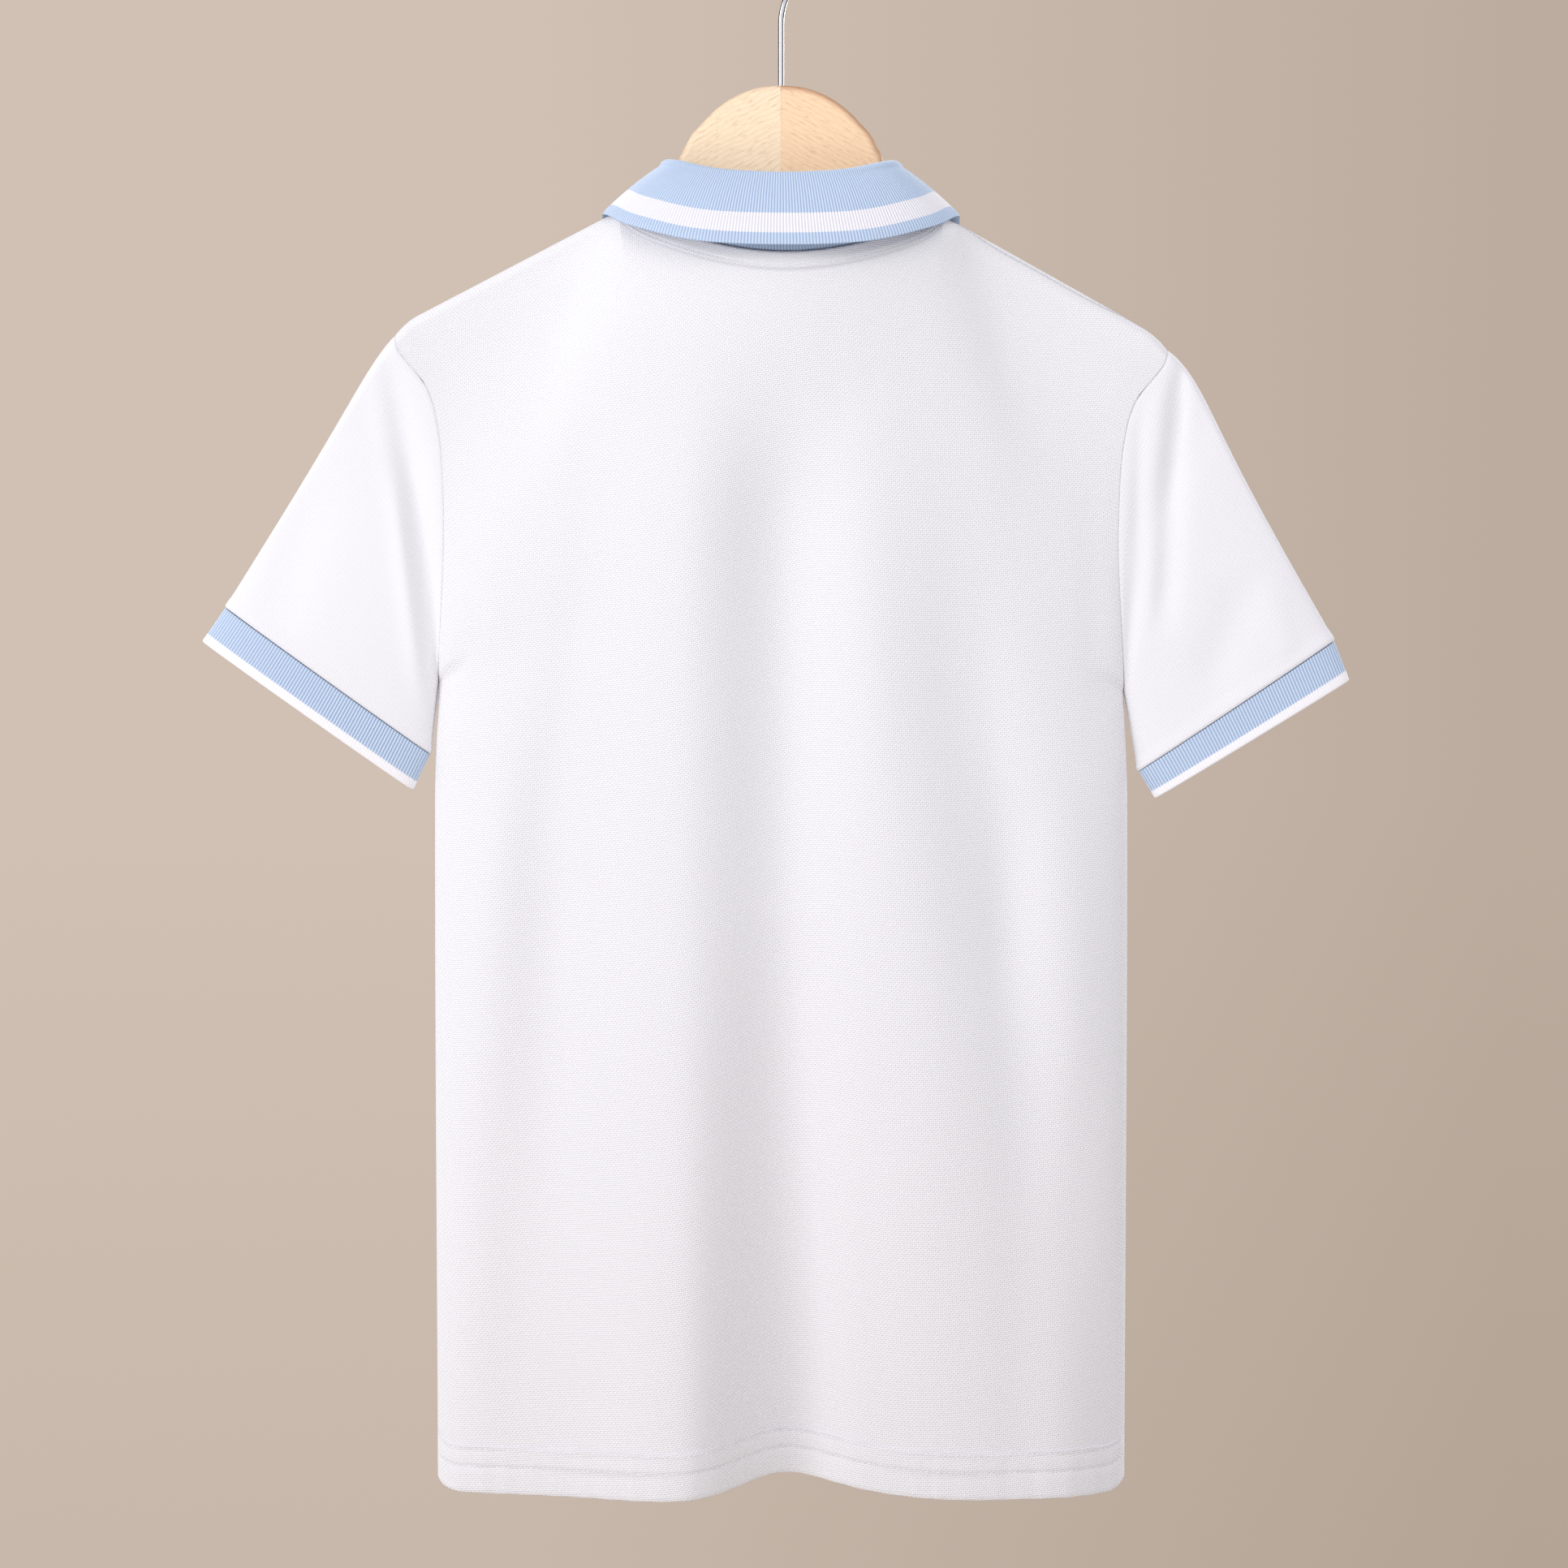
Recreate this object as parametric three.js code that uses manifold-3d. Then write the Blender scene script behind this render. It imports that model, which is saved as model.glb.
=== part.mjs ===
// Polo shirt on a wooden clothes hanger.
// Millimetres, +Z up. The origin is the inside top of the hanger's hook, where a rail carries it.
// The back of the shirt faces +Y and its front, with the placket, faces -Y.

import * as THREE from 'three';
import { mergeVertices } from 'three/addons/utils/BufferGeometryUtils.js';
import Module from 'manifold-3d';

// Cloth and seams
const clothWall = 1.5;
const ribWall = 1.6;
const seamGap = 0.3;
const ribPitch = 1.65;
const ribHeight = 0.45;

// Hanger: flat wood with rounded edges, and a round wire hook
const hanger = {
  thickness: 12,
  edgeRadius: 4,
  top: -92,
  middleFoot: -139,
  armEnd: 189,
  armHeight: 27,
  endRounding: 7,
  clothClearance: 0.5,
};

// Upper outline of the yoke, and its lower outline from the arm inwards, as x and z
const yokeTop = [
  [12, -93.3],
  [23.5, -97.5],
  [33.5, -104.2],
  [40.5, -111.2],
  [46.3, -117.6],
  [50, -124.3],
  [52.6, -129.5],
  [54.4, -137],
  [60, -148],
  [68.5, -157],
];
const yokeFoot = [[56, -170], [30, -150]];
const armX = { first: 92, under: [160, 84] };
const hook = {
  wire: 3.1,
  innerRadius: 18,
  leanAngle: 50 * Math.PI / 180,
  tipAngle: 32 * Math.PI / 180,
  depthInWood: 20,
};

// Shoulder line: it falls from the neck corner to the shoulder point, and the hanger hangs a little askew
const shoulder = {
  cornerHeight: -157.9,
  fall: 0.54,
  pointX: 199.5,
  roundFrom: 188,
  roundDrop: 4,
  askew: 0.019,
};

// Neck seam seen from above: two half ellipses, lower in front than behind; below it they spread
const neck = {
  halfWidth: 83,
  depth: { back: 40, front: 32 },
  drop: { back: 25.8, front: 62 },
  spread: 0.5,
};

// Travel over which the cloth eases from its neck and shoulder form into the body
const bodyReach = 140;

// How the cloth goes over the hanger's arm: a short flat top, a round edge, then straight down
const wrap = { flat: 2, radius: 6.4, travel: 17 };

// The hem rises a little at its middle and turns up at its two corners
const hem = {
  height: -816,
  centreRise: 8,
  riseAt: -10,
  riseWidth: 42,
  cornerFrom: 184,
  cornerRise: 5,
  bandHeight: 24,
  bandEdge: 0.9,
  bandExtra: 0.6,
};

// Half width of the panels against the distance down the armhole and side seam
const sideOutline = [
  { travel: 0, halfWidth: 199.5 },
  { travel: 14, halfWidth: 197 },
  { travel: 33, halfWidth: 182.5 },
  { travel: 55, halfWidth: 176.3 },
  { travel: 85, halfWidth: 173.8 },
  { travel: 120, halfWidth: 173.5 },
  { travel: 185, halfWidth: 177 },
  { travel: 247, halfWidth: 179 },
  { travel: 597, halfWidth: 177.5 },
];
const armhole = { travel: 185, halfDepthTop: 8.4, halfDepthGain: 4.5 };

// Depth of each panel on the middle line, before its folds
const middleDepth = {
  back: [
    { height: -184, depth: 40 },
    { height: -260, depth: 33 },
    { height: -400, depth: 29 },
    { height: -600, depth: 27 },
    { height: -816, depth: 26 },
  ],
  front: [
    { height: -220, depth: 32 },
    { height: -300, depth: 31 },
    { height: -400, depth: 29 },
    { height: -600, depth: 28 },
    { height: -816, depth: 27 },
  ],
};

// Hanging folds: crests stand out and valleys go in; each drifts sideways from its top to the hem
const folds = {
  back: [
    { name: 'left crest', topX: 46, hemX: 54, from: -185, midRise: 8, hemRise: 14, width: 36 },
    { name: 'middle valley', topX: -2, hemX: -13, from: -205, midRise: -10, hemRise: -17, width: 30 },
    { name: 'right crest', topX: -42, hemX: -100, from: -185, midRise: 9, hemRise: 10, width: 42 },
    { name: 'right valley', topX: -78, hemX: -160, from: -270, midRise: -6, hemRise: 0, width: 26 },
    { name: 'left valley', topX: 98, hemX: 136, from: -400, midRise: -5, hemRise: -1, width: 22 },
    { name: 'left small crest', topX: 128, hemX: 166, from: -400, midRise: 4, hemRise: 1, width: 20 },
    { name: 'right edge crest', topX: -140, hemX: -148, from: -410, midRise: 5, hemRise: 3, width: 22 },
  ],
  front: [
    { name: 'left crest', topX: 52, hemX: 78, from: -230, midRise: 8, hemRise: 13, width: 38 },
    { name: 'middle valley', topX: 0, hemX: 12, from: -350, midRise: -6, hemRise: -13, width: 34 },
    { name: 'right crest', topX: -58, hemX: -50, from: -230, midRise: 7, hemRise: 13, width: 36 },
    { name: 'right valley', topX: -104, hemX: -112, from: -300, midRise: -6, hemRise: -9, width: 26 },
    { name: 'left valley', topX: 106, hemX: 130, from: -320, midRise: -6, hemRise: -6, width: 24 },
  ],
};
const foldReach = { middle: -520, growth: 140 };

// Sleeve ends: the corners of the cuff seam and of the cuff's edge, outer one first
const sleeves = {
  left: {
    side: 1,
    seamOuter: [287.3, -361.2],
    seamInner: [181.2, -437.2],
    edgeOuter: [299.5, -378.9],
    edgeInner: [190.3, -456],
    capBulge: 2,
  },
  right: {
    side: -1,
    seamOuter: [286, -378.4],
    seamInner: [184.6, -446.1],
    edgeOuter: [294, -399],
    edgeInner: [193.2, -460.3],
    capBulge: 4.4,
  },
};
const sleeveForm = {
  halfDepth: 11,
  roundness: 0.8,
  troughAt: 0.2,
  troughWidth: 0.1,
  troughDepth: 4.5,
  capAt: 0.14,
  capOut: 0.84,
  capUp: 0.54,
  ways: [0, 0.07, 0.14, 0.22, 0.32, 0.48, 0.72, 1],
};

// Collar sections from the middle of the back (0 degrees) to the front edge, on the left half
const collarSections = [
  { angle: 0, rollX: 0, rollY: 30, rollZ: -142.6, edgeX: 0, edgeY: 48, edgeZ: -181.7 },
  { angle: 30, rollX: 31, rollY: 28, rollZ: -140.8, edgeX: 43, edgeY: 45, edgeZ: -179.2 },
  { angle: 60, rollX: 52.5, rollY: 20, rollZ: -135.2, edgeX: 76, edgeY: 31, edgeZ: -169.4 },
  { angle: 90, rollX: 59.5, rollY: 4, rollZ: -132.2, edgeX: 91, edgeY: 7, edgeZ: -159.5 },
  { angle: 102, rollX: 59, rollY: -4, rollZ: -134.6, edgeX: 92.5, edgeY: -10, edgeZ: -160.2 },
  { angle: 115, rollX: 57, rollY: -11, rollZ: -138.6, edgeX: 92.5, edgeY: -22, edgeZ: -169.5 },
  { angle: 140, rollX: 43, rollY: -22, rollZ: -155, edgeX: 84, edgeY: -29, edgeZ: -205 },
  { angle: 160, rollX: 24, rollY: -28, rollZ: -174, edgeX: 68, edgeY: -39, edgeZ: -235 },
  { angle: 178, rollX: 4, rollY: -31, rollZ: -184, edgeX: 46, edgeY: -47, edgeZ: -262 },
];
const collarTilt = 0.005;
const rollRadius = 2.6;

const placket = {
  slotHalf: 12,
  stripHalf: 15,
  length: 118,
  stripWall: 1.6,
  underInset: 0.3,
  underShorter: 0.45,
  upperLonger: 2.3,
};
const button = { radius: 5.5, holeRadius: 0.8, holeOffset: 1.35, lift: 0.1, places: [16, 78] };

// How far the collar's and the cuffs' crests lie inside the line of the cloth that they are sewn to
const ribInset = 0.2;

const steps = { neckHalf: 8, wrapTurn: 3, armhole: 8, body: 9, cuffInside: 36 };

// Small helpers

const mix = (a, b, t) => a + (b - a) * t;
const clamp = (value, low, high) => Math.min(high, Math.max(low, value));
const ease = (t) => clamp(t, 0, 1) ** 2 * (3 - 2 * clamp(t, 0, 1));

// Smooth value from a table's named columns, with soft turns at its rows
function readTable(table, key, column, at) {
  const falling = table[0][key] > table[1][key];
  const reached = (row) => (falling ? row[key] >= at : row[key] <= at);
  const last = table.length - 2;
  const i = clamp(table.filter(reached).length - 1, 0, last);
  const before = table[Math.max(0, i - 1)];
  const from = table[i];
  const to = table[i + 1];
  const after = table[Math.min(table.length - 1, i + 2)];
  const span = to[key] - from[key];
  const t = clamp((at - from[key]) / span, 0, 1);
  const slopeFrom = (to[column] - before[column]) / (to[key] - before[key]) * span;
  const slopeTo = (after[column] - from[column]) / (after[key] - from[key]) * span;
  return (2 * t ** 3 - 3 * t ** 2 + 1) * from[column] + (t ** 3 - 2 * t ** 2 + t) * slopeFrom
    + (3 * t ** 2 - 2 * t ** 3) * to[column] + (t ** 3 - t ** 2) * slopeTo;
}

// One closed body from loose triangles, turned so that its faces point out
function closedGeometry(triangles) {
  const volume = triangles.reduce((sum, [a, b, c]) => sum + a.dot(b.clone().cross(c)), 0);
  const positions = triangles.flatMap(([a, b, c]) => {
    const corners = volume > 0 ? [a, b, c] : [a, c, b];
    return corners.flatMap((corner) => corner.toArray());
  });
  const geometry = new THREE.BufferGeometry();
  geometry.setAttribute('position', new THREE.Float32BufferAttribute(positions, 3));
  geometry.computeVertexNormals();
  return geometry;
}

function addQuad(triangles, a, b, c, d) {
  triangles.push([a, b, c], [a, c, d]);
}

// A wall between a grid of outer points and its inner points; cells left out make a slot
function wallGeometry(outer, inner, { around = false, isKept = () => true } = {}) {
  const rows = outer.length;
  const columns = outer[0].length;
  const cells = around ? columns : columns - 1;
  const next = (c) => (c + 1) % columns;
  const kept = (r, c) => {
    if (r < 0 || r > rows - 2) return false;
    if (!around && (c < 0 || c > cells - 1)) return false;
    return isKept(r, (c + cells) % cells);
  };
  const triangles = [];
  for (let r = 0; r < rows - 1; r += 1) {
    for (let c = 0; c < cells; c += 1) {
      if (!kept(r, c)) continue;
      const n = next(c);
      addQuad(triangles, outer[r][c], outer[r + 1][c], outer[r + 1][n], outer[r][n]);
      addQuad(triangles, inner[r][n], inner[r + 1][n], inner[r + 1][c], inner[r][c]);
      if (!kept(r - 1, c)) addQuad(triangles, outer[r][c], outer[r][n], inner[r][n], inner[r][c]);
      if (!kept(r + 1, c)) {
        addQuad(triangles, outer[r + 1][n], outer[r + 1][c], inner[r + 1][c], inner[r + 1][n]);
      }
      if (!kept(r, c - 1)) addQuad(triangles, outer[r + 1][c], outer[r][c], inner[r][c], inner[r + 1][c]);
      if (!kept(r, c + 1)) addQuad(triangles, outer[r][n], outer[r + 1][n], inner[r + 1][n], inner[r][n]);
    }
  }
  return closedGeometry(triangles);
}

// Triangles between two rows of points that may have different counts, matched by their place along
function zipRows(triangles, rowA, rowB, around) {
  const endA = around ? rowA.length : rowA.length - 1;
  const endB = around ? rowB.length : rowB.length - 1;
  const place = (row, i) => (i < row.length ? row[i].at : 1 + row[0].at);
  const point = (row, i) => row[i % row.length].point;
  let a = 0;
  let b = 0;
  while (a < endA || b < endB) {
    const stepA = b === endB || (a < endA && place(rowA, a + 1) <= place(rowB, b + 1));
    if (stepA) {
      triangles.push([point(rowA, a), point(rowA, a + 1), point(rowB, b)]);
      a += 1;
    } else {
      triangles.push([point(rowA, a), point(rowB, b + 1), point(rowB, b)]);
      b += 1;
    }
  }
}

// Samples along a line whose length is measured
const samples = 400;

function lengthOf(pointAt) {
  let length = 0;
  for (let i = 0; i < samples; i += 1) length += pointAt(i / samples).distanceTo(pointAt((i + 1) / samples));
  return length;
}

// The places that cut a line of the given points into even lengths
function evenPlaces(pointAt, count) {
  const lengths = [0];
  let before = pointAt(0);
  for (let i = 1; i <= samples; i += 1) {
    const here = pointAt(i / samples);
    lengths.push(lengths[i - 1] + here.distanceTo(before));
    before = here;
  }
  return Array.from({ length: count + 1 }, (_, k) => {
    const wanted = lengths[samples] * k / count;
    const i = clamp(lengths.findIndex((length) => length >= wanted), 1, samples);
    return (i - 1 + (wanted - lengths[i - 1]) / (lengths[i] - lengths[i - 1])) / samples;
  });
}

// Body cloth

const outwardOf = { back: 1, front: -1 };

function ridgeHeight(x) {
  const past = Math.max(0, Math.abs(x) - shoulder.roundFrom) / (shoulder.pointX - shoulder.roundFrom);
  const fall = shoulder.fall * (Math.abs(x) - neck.halfWidth);
  return shoulder.cornerHeight - fall - shoulder.roundDrop * past ** 2 + shoulder.askew * x;
}

function neckPlace(face, x) {
  const inside = Math.max(0, 1 - (x / neck.halfWidth) ** 2);
  return {
    depth: neck.depth[face] * Math.sqrt(inside),
    height: shoulder.cornerHeight + shoulder.askew * x - neck.drop[face] * inside,
  };
}

function topPlace(face, x) {
  return Math.abs(x) < neck.halfWidth ? neckPlace(face, x) : { depth: 0, height: ridgeHeight(x) };
}

// Where the cloth is after a given travel over the hanger's arm
function wrapPlace(travel) {
  const turn = clamp((travel - wrap.flat) / wrap.radius, 0, Math.PI / 2);
  const straight = Math.max(0, travel - wrap.flat - wrap.radius * Math.PI / 2);
  const out = Math.min(travel, wrap.flat) + wrap.radius * Math.sin(turn);
  return { out, down: wrap.radius * (1 - Math.cos(turn)) + straight };
}
const wrapLoss = wrap.flat + wrap.radius * (Math.PI / 2 - 1);

// Levels that rows share: the same part of the way down on every column
const sideEndTravel = sideOutline[sideOutline.length - 1].travel;
const levelOfTravel = (travel) => (travel - wrap.travel) / (sideEndTravel - wrap.travel);
const underArmLevel = levelOfTravel(armhole.travel);

// Where the panel starts at its top: half a seam gap from the shoulder seam on the ridge
function startTravel(x) {
  return Math.abs(x) < neck.halfWidth ? 0 : seamGap / 2;
}

function hemHeight(x) {
  const toCorner = clamp((Math.abs(x) - hem.cornerFrom) / (shoulder.pointX - hem.cornerFrom), 0, 1);
  const centre = Math.exp(-(((x - hem.riseAt) / hem.riseWidth) ** 2));
  return hem.height + hem.cornerRise * toCorner ** 2 + hem.centreRise * centre;
}

function wholeTravel(face, topX) {
  return topPlace(face, topX).height - hemHeight(topX) + wrapLoss;
}

function foldRise(face, x, height) {
  const reach = shoulder.cornerHeight - hem.height;
  return folds[face].reduce((sum, fold) => {
    const fallen = (shoulder.cornerHeight - height) / reach;
    const centre = mix(fold.topX, fold.hemX, fallen);
    const grown = ease((fold.from - height) / foldReach.growth);
    const lower = clamp((foldReach.middle - height) / (foldReach.middle - hem.height), 0, 1);
    const rise = grown * mix(fold.midRise, fold.hemRise, lower);
    return sum + rise * Math.exp(-(((x - centre) / fold.width) ** 2));
  }, 0);
}

// Depth of the armhole edge: a flat loop that closes at the under arm
function edgeDepth(sideTravel) {
  const along = sideTravel / armhole.travel;
  if (along >= 1) return seamGap / 2;
  const open = (armhole.halfDepthTop + armhole.halfDepthGain * along) * Math.sqrt(1 - along ** 4);
  return Math.max(seamGap / 2, open);
}

// A point of a panel. topX is where its column starts; level runs from -1 at the top seam to 0
// at the foot of the wrap over the hanger, and on to 1 at the hem.
function panelPoint(face, topX, level) {
  const whole = wholeTravel(face, topX);
  const travel = level < 0 ? mix(wrap.travel, startTravel(topX), -level) : mix(wrap.travel, whole, level);
  const sideTravel = level < 0 ? wrap.travel * (1 + level) : mix(wrap.travel, sideEndTravel, level);
  const halfWidth = readTable(sideOutline, 'travel', 'halfWidth', sideTravel);
  const drawnIn = (shoulder.pointX - halfWidth) * (topX / shoulder.pointX) ** 2;
  const x = topX - Math.sign(topX) * drawnIn;
  const top = topPlace(face, topX);
  const over = wrapPlace(travel);
  const upright = Math.min(1, top.depth / 12);
  const fallen = mix(over.down, travel, upright) / mix(whole - wrapLoss, whole, upright);
  const height = mix(top.height, hemHeight(topX), fallen);
  const spread = neck.halfWidth + neck.spread * Math.max(0, travel - startTravel(topX));
  const neckDepth = neck.depth[face] * Math.sqrt(Math.max(0, 1 - (topX / spread) ** 2));
  const nearTop = Math.hypot(neckDepth, over.out);
  const across = clamp(Math.abs(x) / halfWidth, 0, 1);
  const below = ease((sideTravel - armhole.travel * 0.3) / (armhole.travel * 0.9));
  const lens = (1 - across ** mix(2, 2.6, below)) ** mix(1, 0.5, below);
  const edge = edgeDepth(sideTravel);
  const middle = readTable(middleDepth[face], 'height', 'depth', height) + foldRise(face, x, height);
  const body = edge + lens * (middle - edge);
  const blend = ease(travel / bodyReach);
  return new THREE.Vector3(x, outwardOf[face] * mix(nearTop, body, blend), height);
}

// The direction out of the cloth; at seams it lies along the seam's own plane so that edges meet squarely
function panelNormal(face, topX, level) {
  const atSide = Math.abs(topX) >= shoulder.pointX;
  if (atSide && level >= underArmLevel - 1e-6) return new THREE.Vector3(Math.sign(topX), 0, 0);
  if (level <= -1 && Math.abs(topX) >= neck.halfWidth) return new THREE.Vector3(0, 0, 1);
  const stepX = 0.5;
  const stepLevel = 0.004;
  const left = panelPoint(face, Math.min(topX + stepX, shoulder.pointX), level);
  const right = panelPoint(face, Math.max(topX - stepX, -shoulder.pointX), level);
  const upper = panelPoint(face, topX, Math.max(level - stepLevel, -1));
  const lower = panelPoint(face, topX, Math.min(level + stepLevel, 1));
  const normal = left.sub(right).cross(lower.sub(upper)).multiplyScalar(outwardOf[face]);
  if (atSide) normal.x = 0;
  if (level >= 1) normal.z = 0;
  return normal.normalize();
}

// A point on a panel, moved out along its normal
function offPanel(face, topX, level, out) {
  return panelPoint(face, topX, level).addScaledVector(panelNormal(face, topX, level), out);
}

const evenly = (count, from, to) => Array.from({ length: count }, (_, i) => mix(from, to, (i + 1) / count));

// Turns round one half of the neck seam, in radians from its middle; in front they start at the slot's edge
function neckTurns(face) {
  const first = face === 'front' ? Math.asin(placket.slotHalf / neck.halfWidth) : 0;
  const rest = evenly(steps.neckHalf, first, Math.PI / 2);
  return first > 0 ? [0, first, ...rest] : [0, ...rest];
}

// Column starts across a panel: round the neck, then closer towards the side seam
function columnStarts(face) {
  const outwards = [0.18, 0.36, 0.53, 0.68, 0.81, 0.91, 0.97, 1];
  const left = [
    ...neckTurns(face).slice(1).map((turn) => neck.halfWidth * Math.sin(turn)),
    ...outwards.map((t) => mix(neck.halfWidth, shoulder.pointX, t)),
  ];
  return [...left.map((x) => -x).reverse(), 0, ...left];
}

// Levels down a panel: over the hanger, along the armhole, down the side seam, and the hem band
function rowLevels() {
  const band = levelOfTravel(sideEndTravel - hem.bandHeight);
  const aboveBand = levelOfTravel(sideEndTravel - hem.bandHeight - hem.bandEdge);
  const turnEnd = wrap.flat + wrap.radius * Math.PI / 2;
  const overArm = [wrap.flat, ...evenly(steps.wrapTurn, wrap.flat, turnEnd), wrap.travel];
  return [
    -1,
    ...overArm.map((travel) => travel / wrap.travel - 1),
    ...evenly(steps.armhole, 0, underArmLevel),
    ...evenly(steps.body, underArmLevel, aboveBand),
    band,
    1,
  ];
}
const levels = rowLevels();
const underArmRow = levels.findIndex((level) => level >= underArmLevel - 1e-9);

function panelGrids(face) {
  const columns = columnStarts(face);
  const bandRow = levels.length - 2;
  const outer = levels.map((level, r) => {
    const out = r >= bandRow ? hem.bandExtra : 0;
    return columns.map((x) => offPanel(face, x, level, out));
  });
  const inner = levels.map((level) => columns.map((x) => offPanel(face, x, level, -clothWall)));
  return { columns, outer, inner };
}

function makeBack() {
  const { outer, inner } = panelGrids('back');
  return wallGeometry(outer, inner);
}

// The first level row below the placket, where its slot ends
const slotFootRow = levels.findIndex((level) => level >= levelOfTravel(placket.length));
const slotFoot = levels[slotFootRow];
const levelStep = (travel) => travel / (sideEndTravel - wrap.travel);

function makeFront() {
  const { columns, outer, inner } = panelGrids('front');
  const inSlot = (r, c) => r < slotFootRow && Math.abs(columns[c] + columns[c + 1]) < 2 * placket.slotHalf;
  return wallGeometry(outer, inner, { isKept: (r, c) => !inSlot(r, c) });
}

// A strip of cloth on the front, between two distances out of the panel's outer face
function frontStrip(halfWidth, footLevel, outerAt, innerAt) {
  const rows = levels.slice(0, slotFootRow);
  rows.push(footLevel);
  const columns = [-halfWidth, 0, halfWidth];
  const grid = (out) => rows.map((level) => columns.map((x) => offPanel('front', x, level, out)));
  return wallGeometry(grid(outerAt), grid(innerAt));
}

function makePlacketUnder() {
  const foot = slotFoot - levelStep(placket.underShorter);
  return frontStrip(placket.slotHalf - placket.underInset, foot, 0, -clothWall);
}

function makePlacketUpper() {
  const foot = slotFoot + levelStep(placket.upperLonger);
  return frontStrip(placket.stripHalf, foot, seamGap + placket.stripWall, seamGap);
}

// Sleeves and cuffs

// The armhole edge of the body, from the shoulder point down the back and up the front
function armholeLoop(side) {
  const rows = levels.slice(0, underArmRow + 1);
  const down = rows.map((level) => panelPoint('back', side * shoulder.pointX, level));
  const up = rows.slice(1, -1).reverse().map((level) => panelPoint('front', side * shoulder.pointX, level));
  const points = [...down, ...up];
  points[0].y = 0;
  points[rows.length - 1].y = 0;
  const gaps = points.map((point, i) => point.distanceTo(points[(i + 1) % points.length]));
  const whole = gaps.reduce((sum, gap) => sum + gap, 0);
  let travelled = 0;
  return points.map((point, i) => {
    const at = travelled / whole;
    travelled += gaps[i];
    return { at, point };
  });
}

// A flat loop between an outer and an inner corner; turn 0 is the outer corner, 0.5 the inner one
function flatLoopPoint(side, outerCorner, innerCorner, halfDepth, turn) {
  const angle = 2 * Math.PI * turn;
  const along = (1 - Math.cos(angle)) / 2;
  const depth = halfDepth * Math.sign(Math.sin(angle)) * Math.abs(Math.sin(angle)) ** sleeveForm.roundness;
  const x = side * mix(outerCorner[0], innerCorner[0], along);
  return new THREE.Vector3(x, depth, mix(outerCorner[1], innerCorner[1], along));
}

// The cloth's normals over a grid of points that closes round, out of the tube
function tubeNormals(grid) {
  const rows = grid.length;
  const columns = grid[0].length;
  const centre = grid.map((row) => row.reduce((sum, p) => sum.add(p), new THREE.Vector3()).divideScalar(columns));
  return grid.map((row, r) => row.map((point, c) => {
    const along = grid[Math.min(r + 1, rows - 1)][c].clone().sub(grid[Math.max(r - 1, 0)][c]);
    const round = row[(c + 1) % columns].clone().sub(row[(c + columns - 1) % columns]);
    const normal = round.cross(along).normalize();
    return normal.dot(point.clone().sub(centre[r])) < 0 ? normal.negate() : normal;
  }));
}

function sleevePoint(sleeve, armholePoint, turn, way) {
  const { side } = sleeve;
  const end = flatLoopPoint(side, sleeve.seamOuter, sleeve.seamInner, sleeveForm.halfDepth, turn);
  const point = armholePoint.clone().lerp(end, way);
  const angle = 2 * Math.PI * turn;
  const grown = ease(way / 0.1);
  const trough = grown * Math.exp(-(((way - sleeveForm.troughAt) / sleeveForm.troughWidth) ** 2));
  point.y -= sleeveForm.troughDepth * trough * Math.sin(angle);
  const reach = way / sleeveForm.capAt;
  const swell = sleeve.capBulge * reach * Math.exp(1 - reach) * Math.max(0, Math.cos(angle)) ** 2;
  point.x += side * swell * sleeveForm.capOut;
  point.z += swell * sleeveForm.capUp;
  return point;
}

function makeSleeve(sleeve) {
  const loop = armholeLoop(sleeve.side);
  const { ways } = sleeveForm;
  const outer = ways.map((way) => loop.map(({ at, point }) => {
    const placed = sleevePoint(sleeve, point, at, way);
    if (way === 0) placed.x += sleeve.side * seamGap;
    return placed;
  }));
  const normals = tubeNormals(outer);
  normals[0].forEach((normal) => normal.setX(0).normalize());
  const lengthwise = new THREE.Vector3(
    sleeve.side * (sleeve.edgeOuter[0] - sleeve.seamOuter[0]),
    0,
    sleeve.edgeOuter[1] - sleeve.seamOuter[1],
  ).normalize();
  normals[ways.length - 1].forEach((normal) => normal.projectOnPlane(lengthwise).normalize());
  const inner = outer.map((row, r) => row.map((p, c) => p.clone().addScaledVector(normals[r][c], -clothWall)));
  return wallGeometry(outer, inner, { around: true });
}

// A rib cuff: fine ridges outside, plain inside
function makeCuff(sleeve) {
  const loopAt = (way, inset) => (turn) => {
    const corner = (from, to) => [mix(from[0], to[0], way), mix(from[1], to[1], way)];
    const outerCorner = corner(sleeve.seamOuter, sleeve.edgeOuter);
    const innerCorner = corner(sleeve.seamInner, sleeve.edgeInner);
    const span = Math.hypot(outerCorner[0] - innerCorner[0], outerCorner[1] - innerCorner[1]);
    const shortened = (from, to) => from.map((value, i) => mix(value, to[i], inset / span));
    return flatLoopPoint(
      sleeve.side,
      shortened(outerCorner, innerCorner),
      shortened(innerCorner, outerCorner),
      sleeveForm.halfDepth - inset,
      turn,
    );
  };
  const seamWay = 0.02;
  const ribs = Math.round(lengthOf(loopAt(1, 0)) / ribPitch);
  const ribbed = (way) => {
    const crest = loopAt(way, ribInset);
    const groove = loopAt(way, ribInset + ribHeight);
    const places = evenPlaces(crest, 2 * ribs).slice(0, -1);
    return places.map((at, i) => ({ at, point: i % 2 ? groove(at) : crest(at) }));
  };
  const plain = (way) => {
    const inside = loopAt(way, ribInset + ribHeight + ribWall);
    return Array.from({ length: steps.cuffInside }, (_, i) => {
      const at = i / steps.cuffInside;
      return { at, point: inside(at) };
    });
  };
  const rings = [ribbed(seamWay), ribbed(1), plain(1), plain(seamWay)];
  const triangles = [];
  rings.forEach((ring, i) => zipRows(triangles, ring, rings[(i + 1) % rings.length], true));
  return closedGeometry(triangles);
}

// Collar

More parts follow.
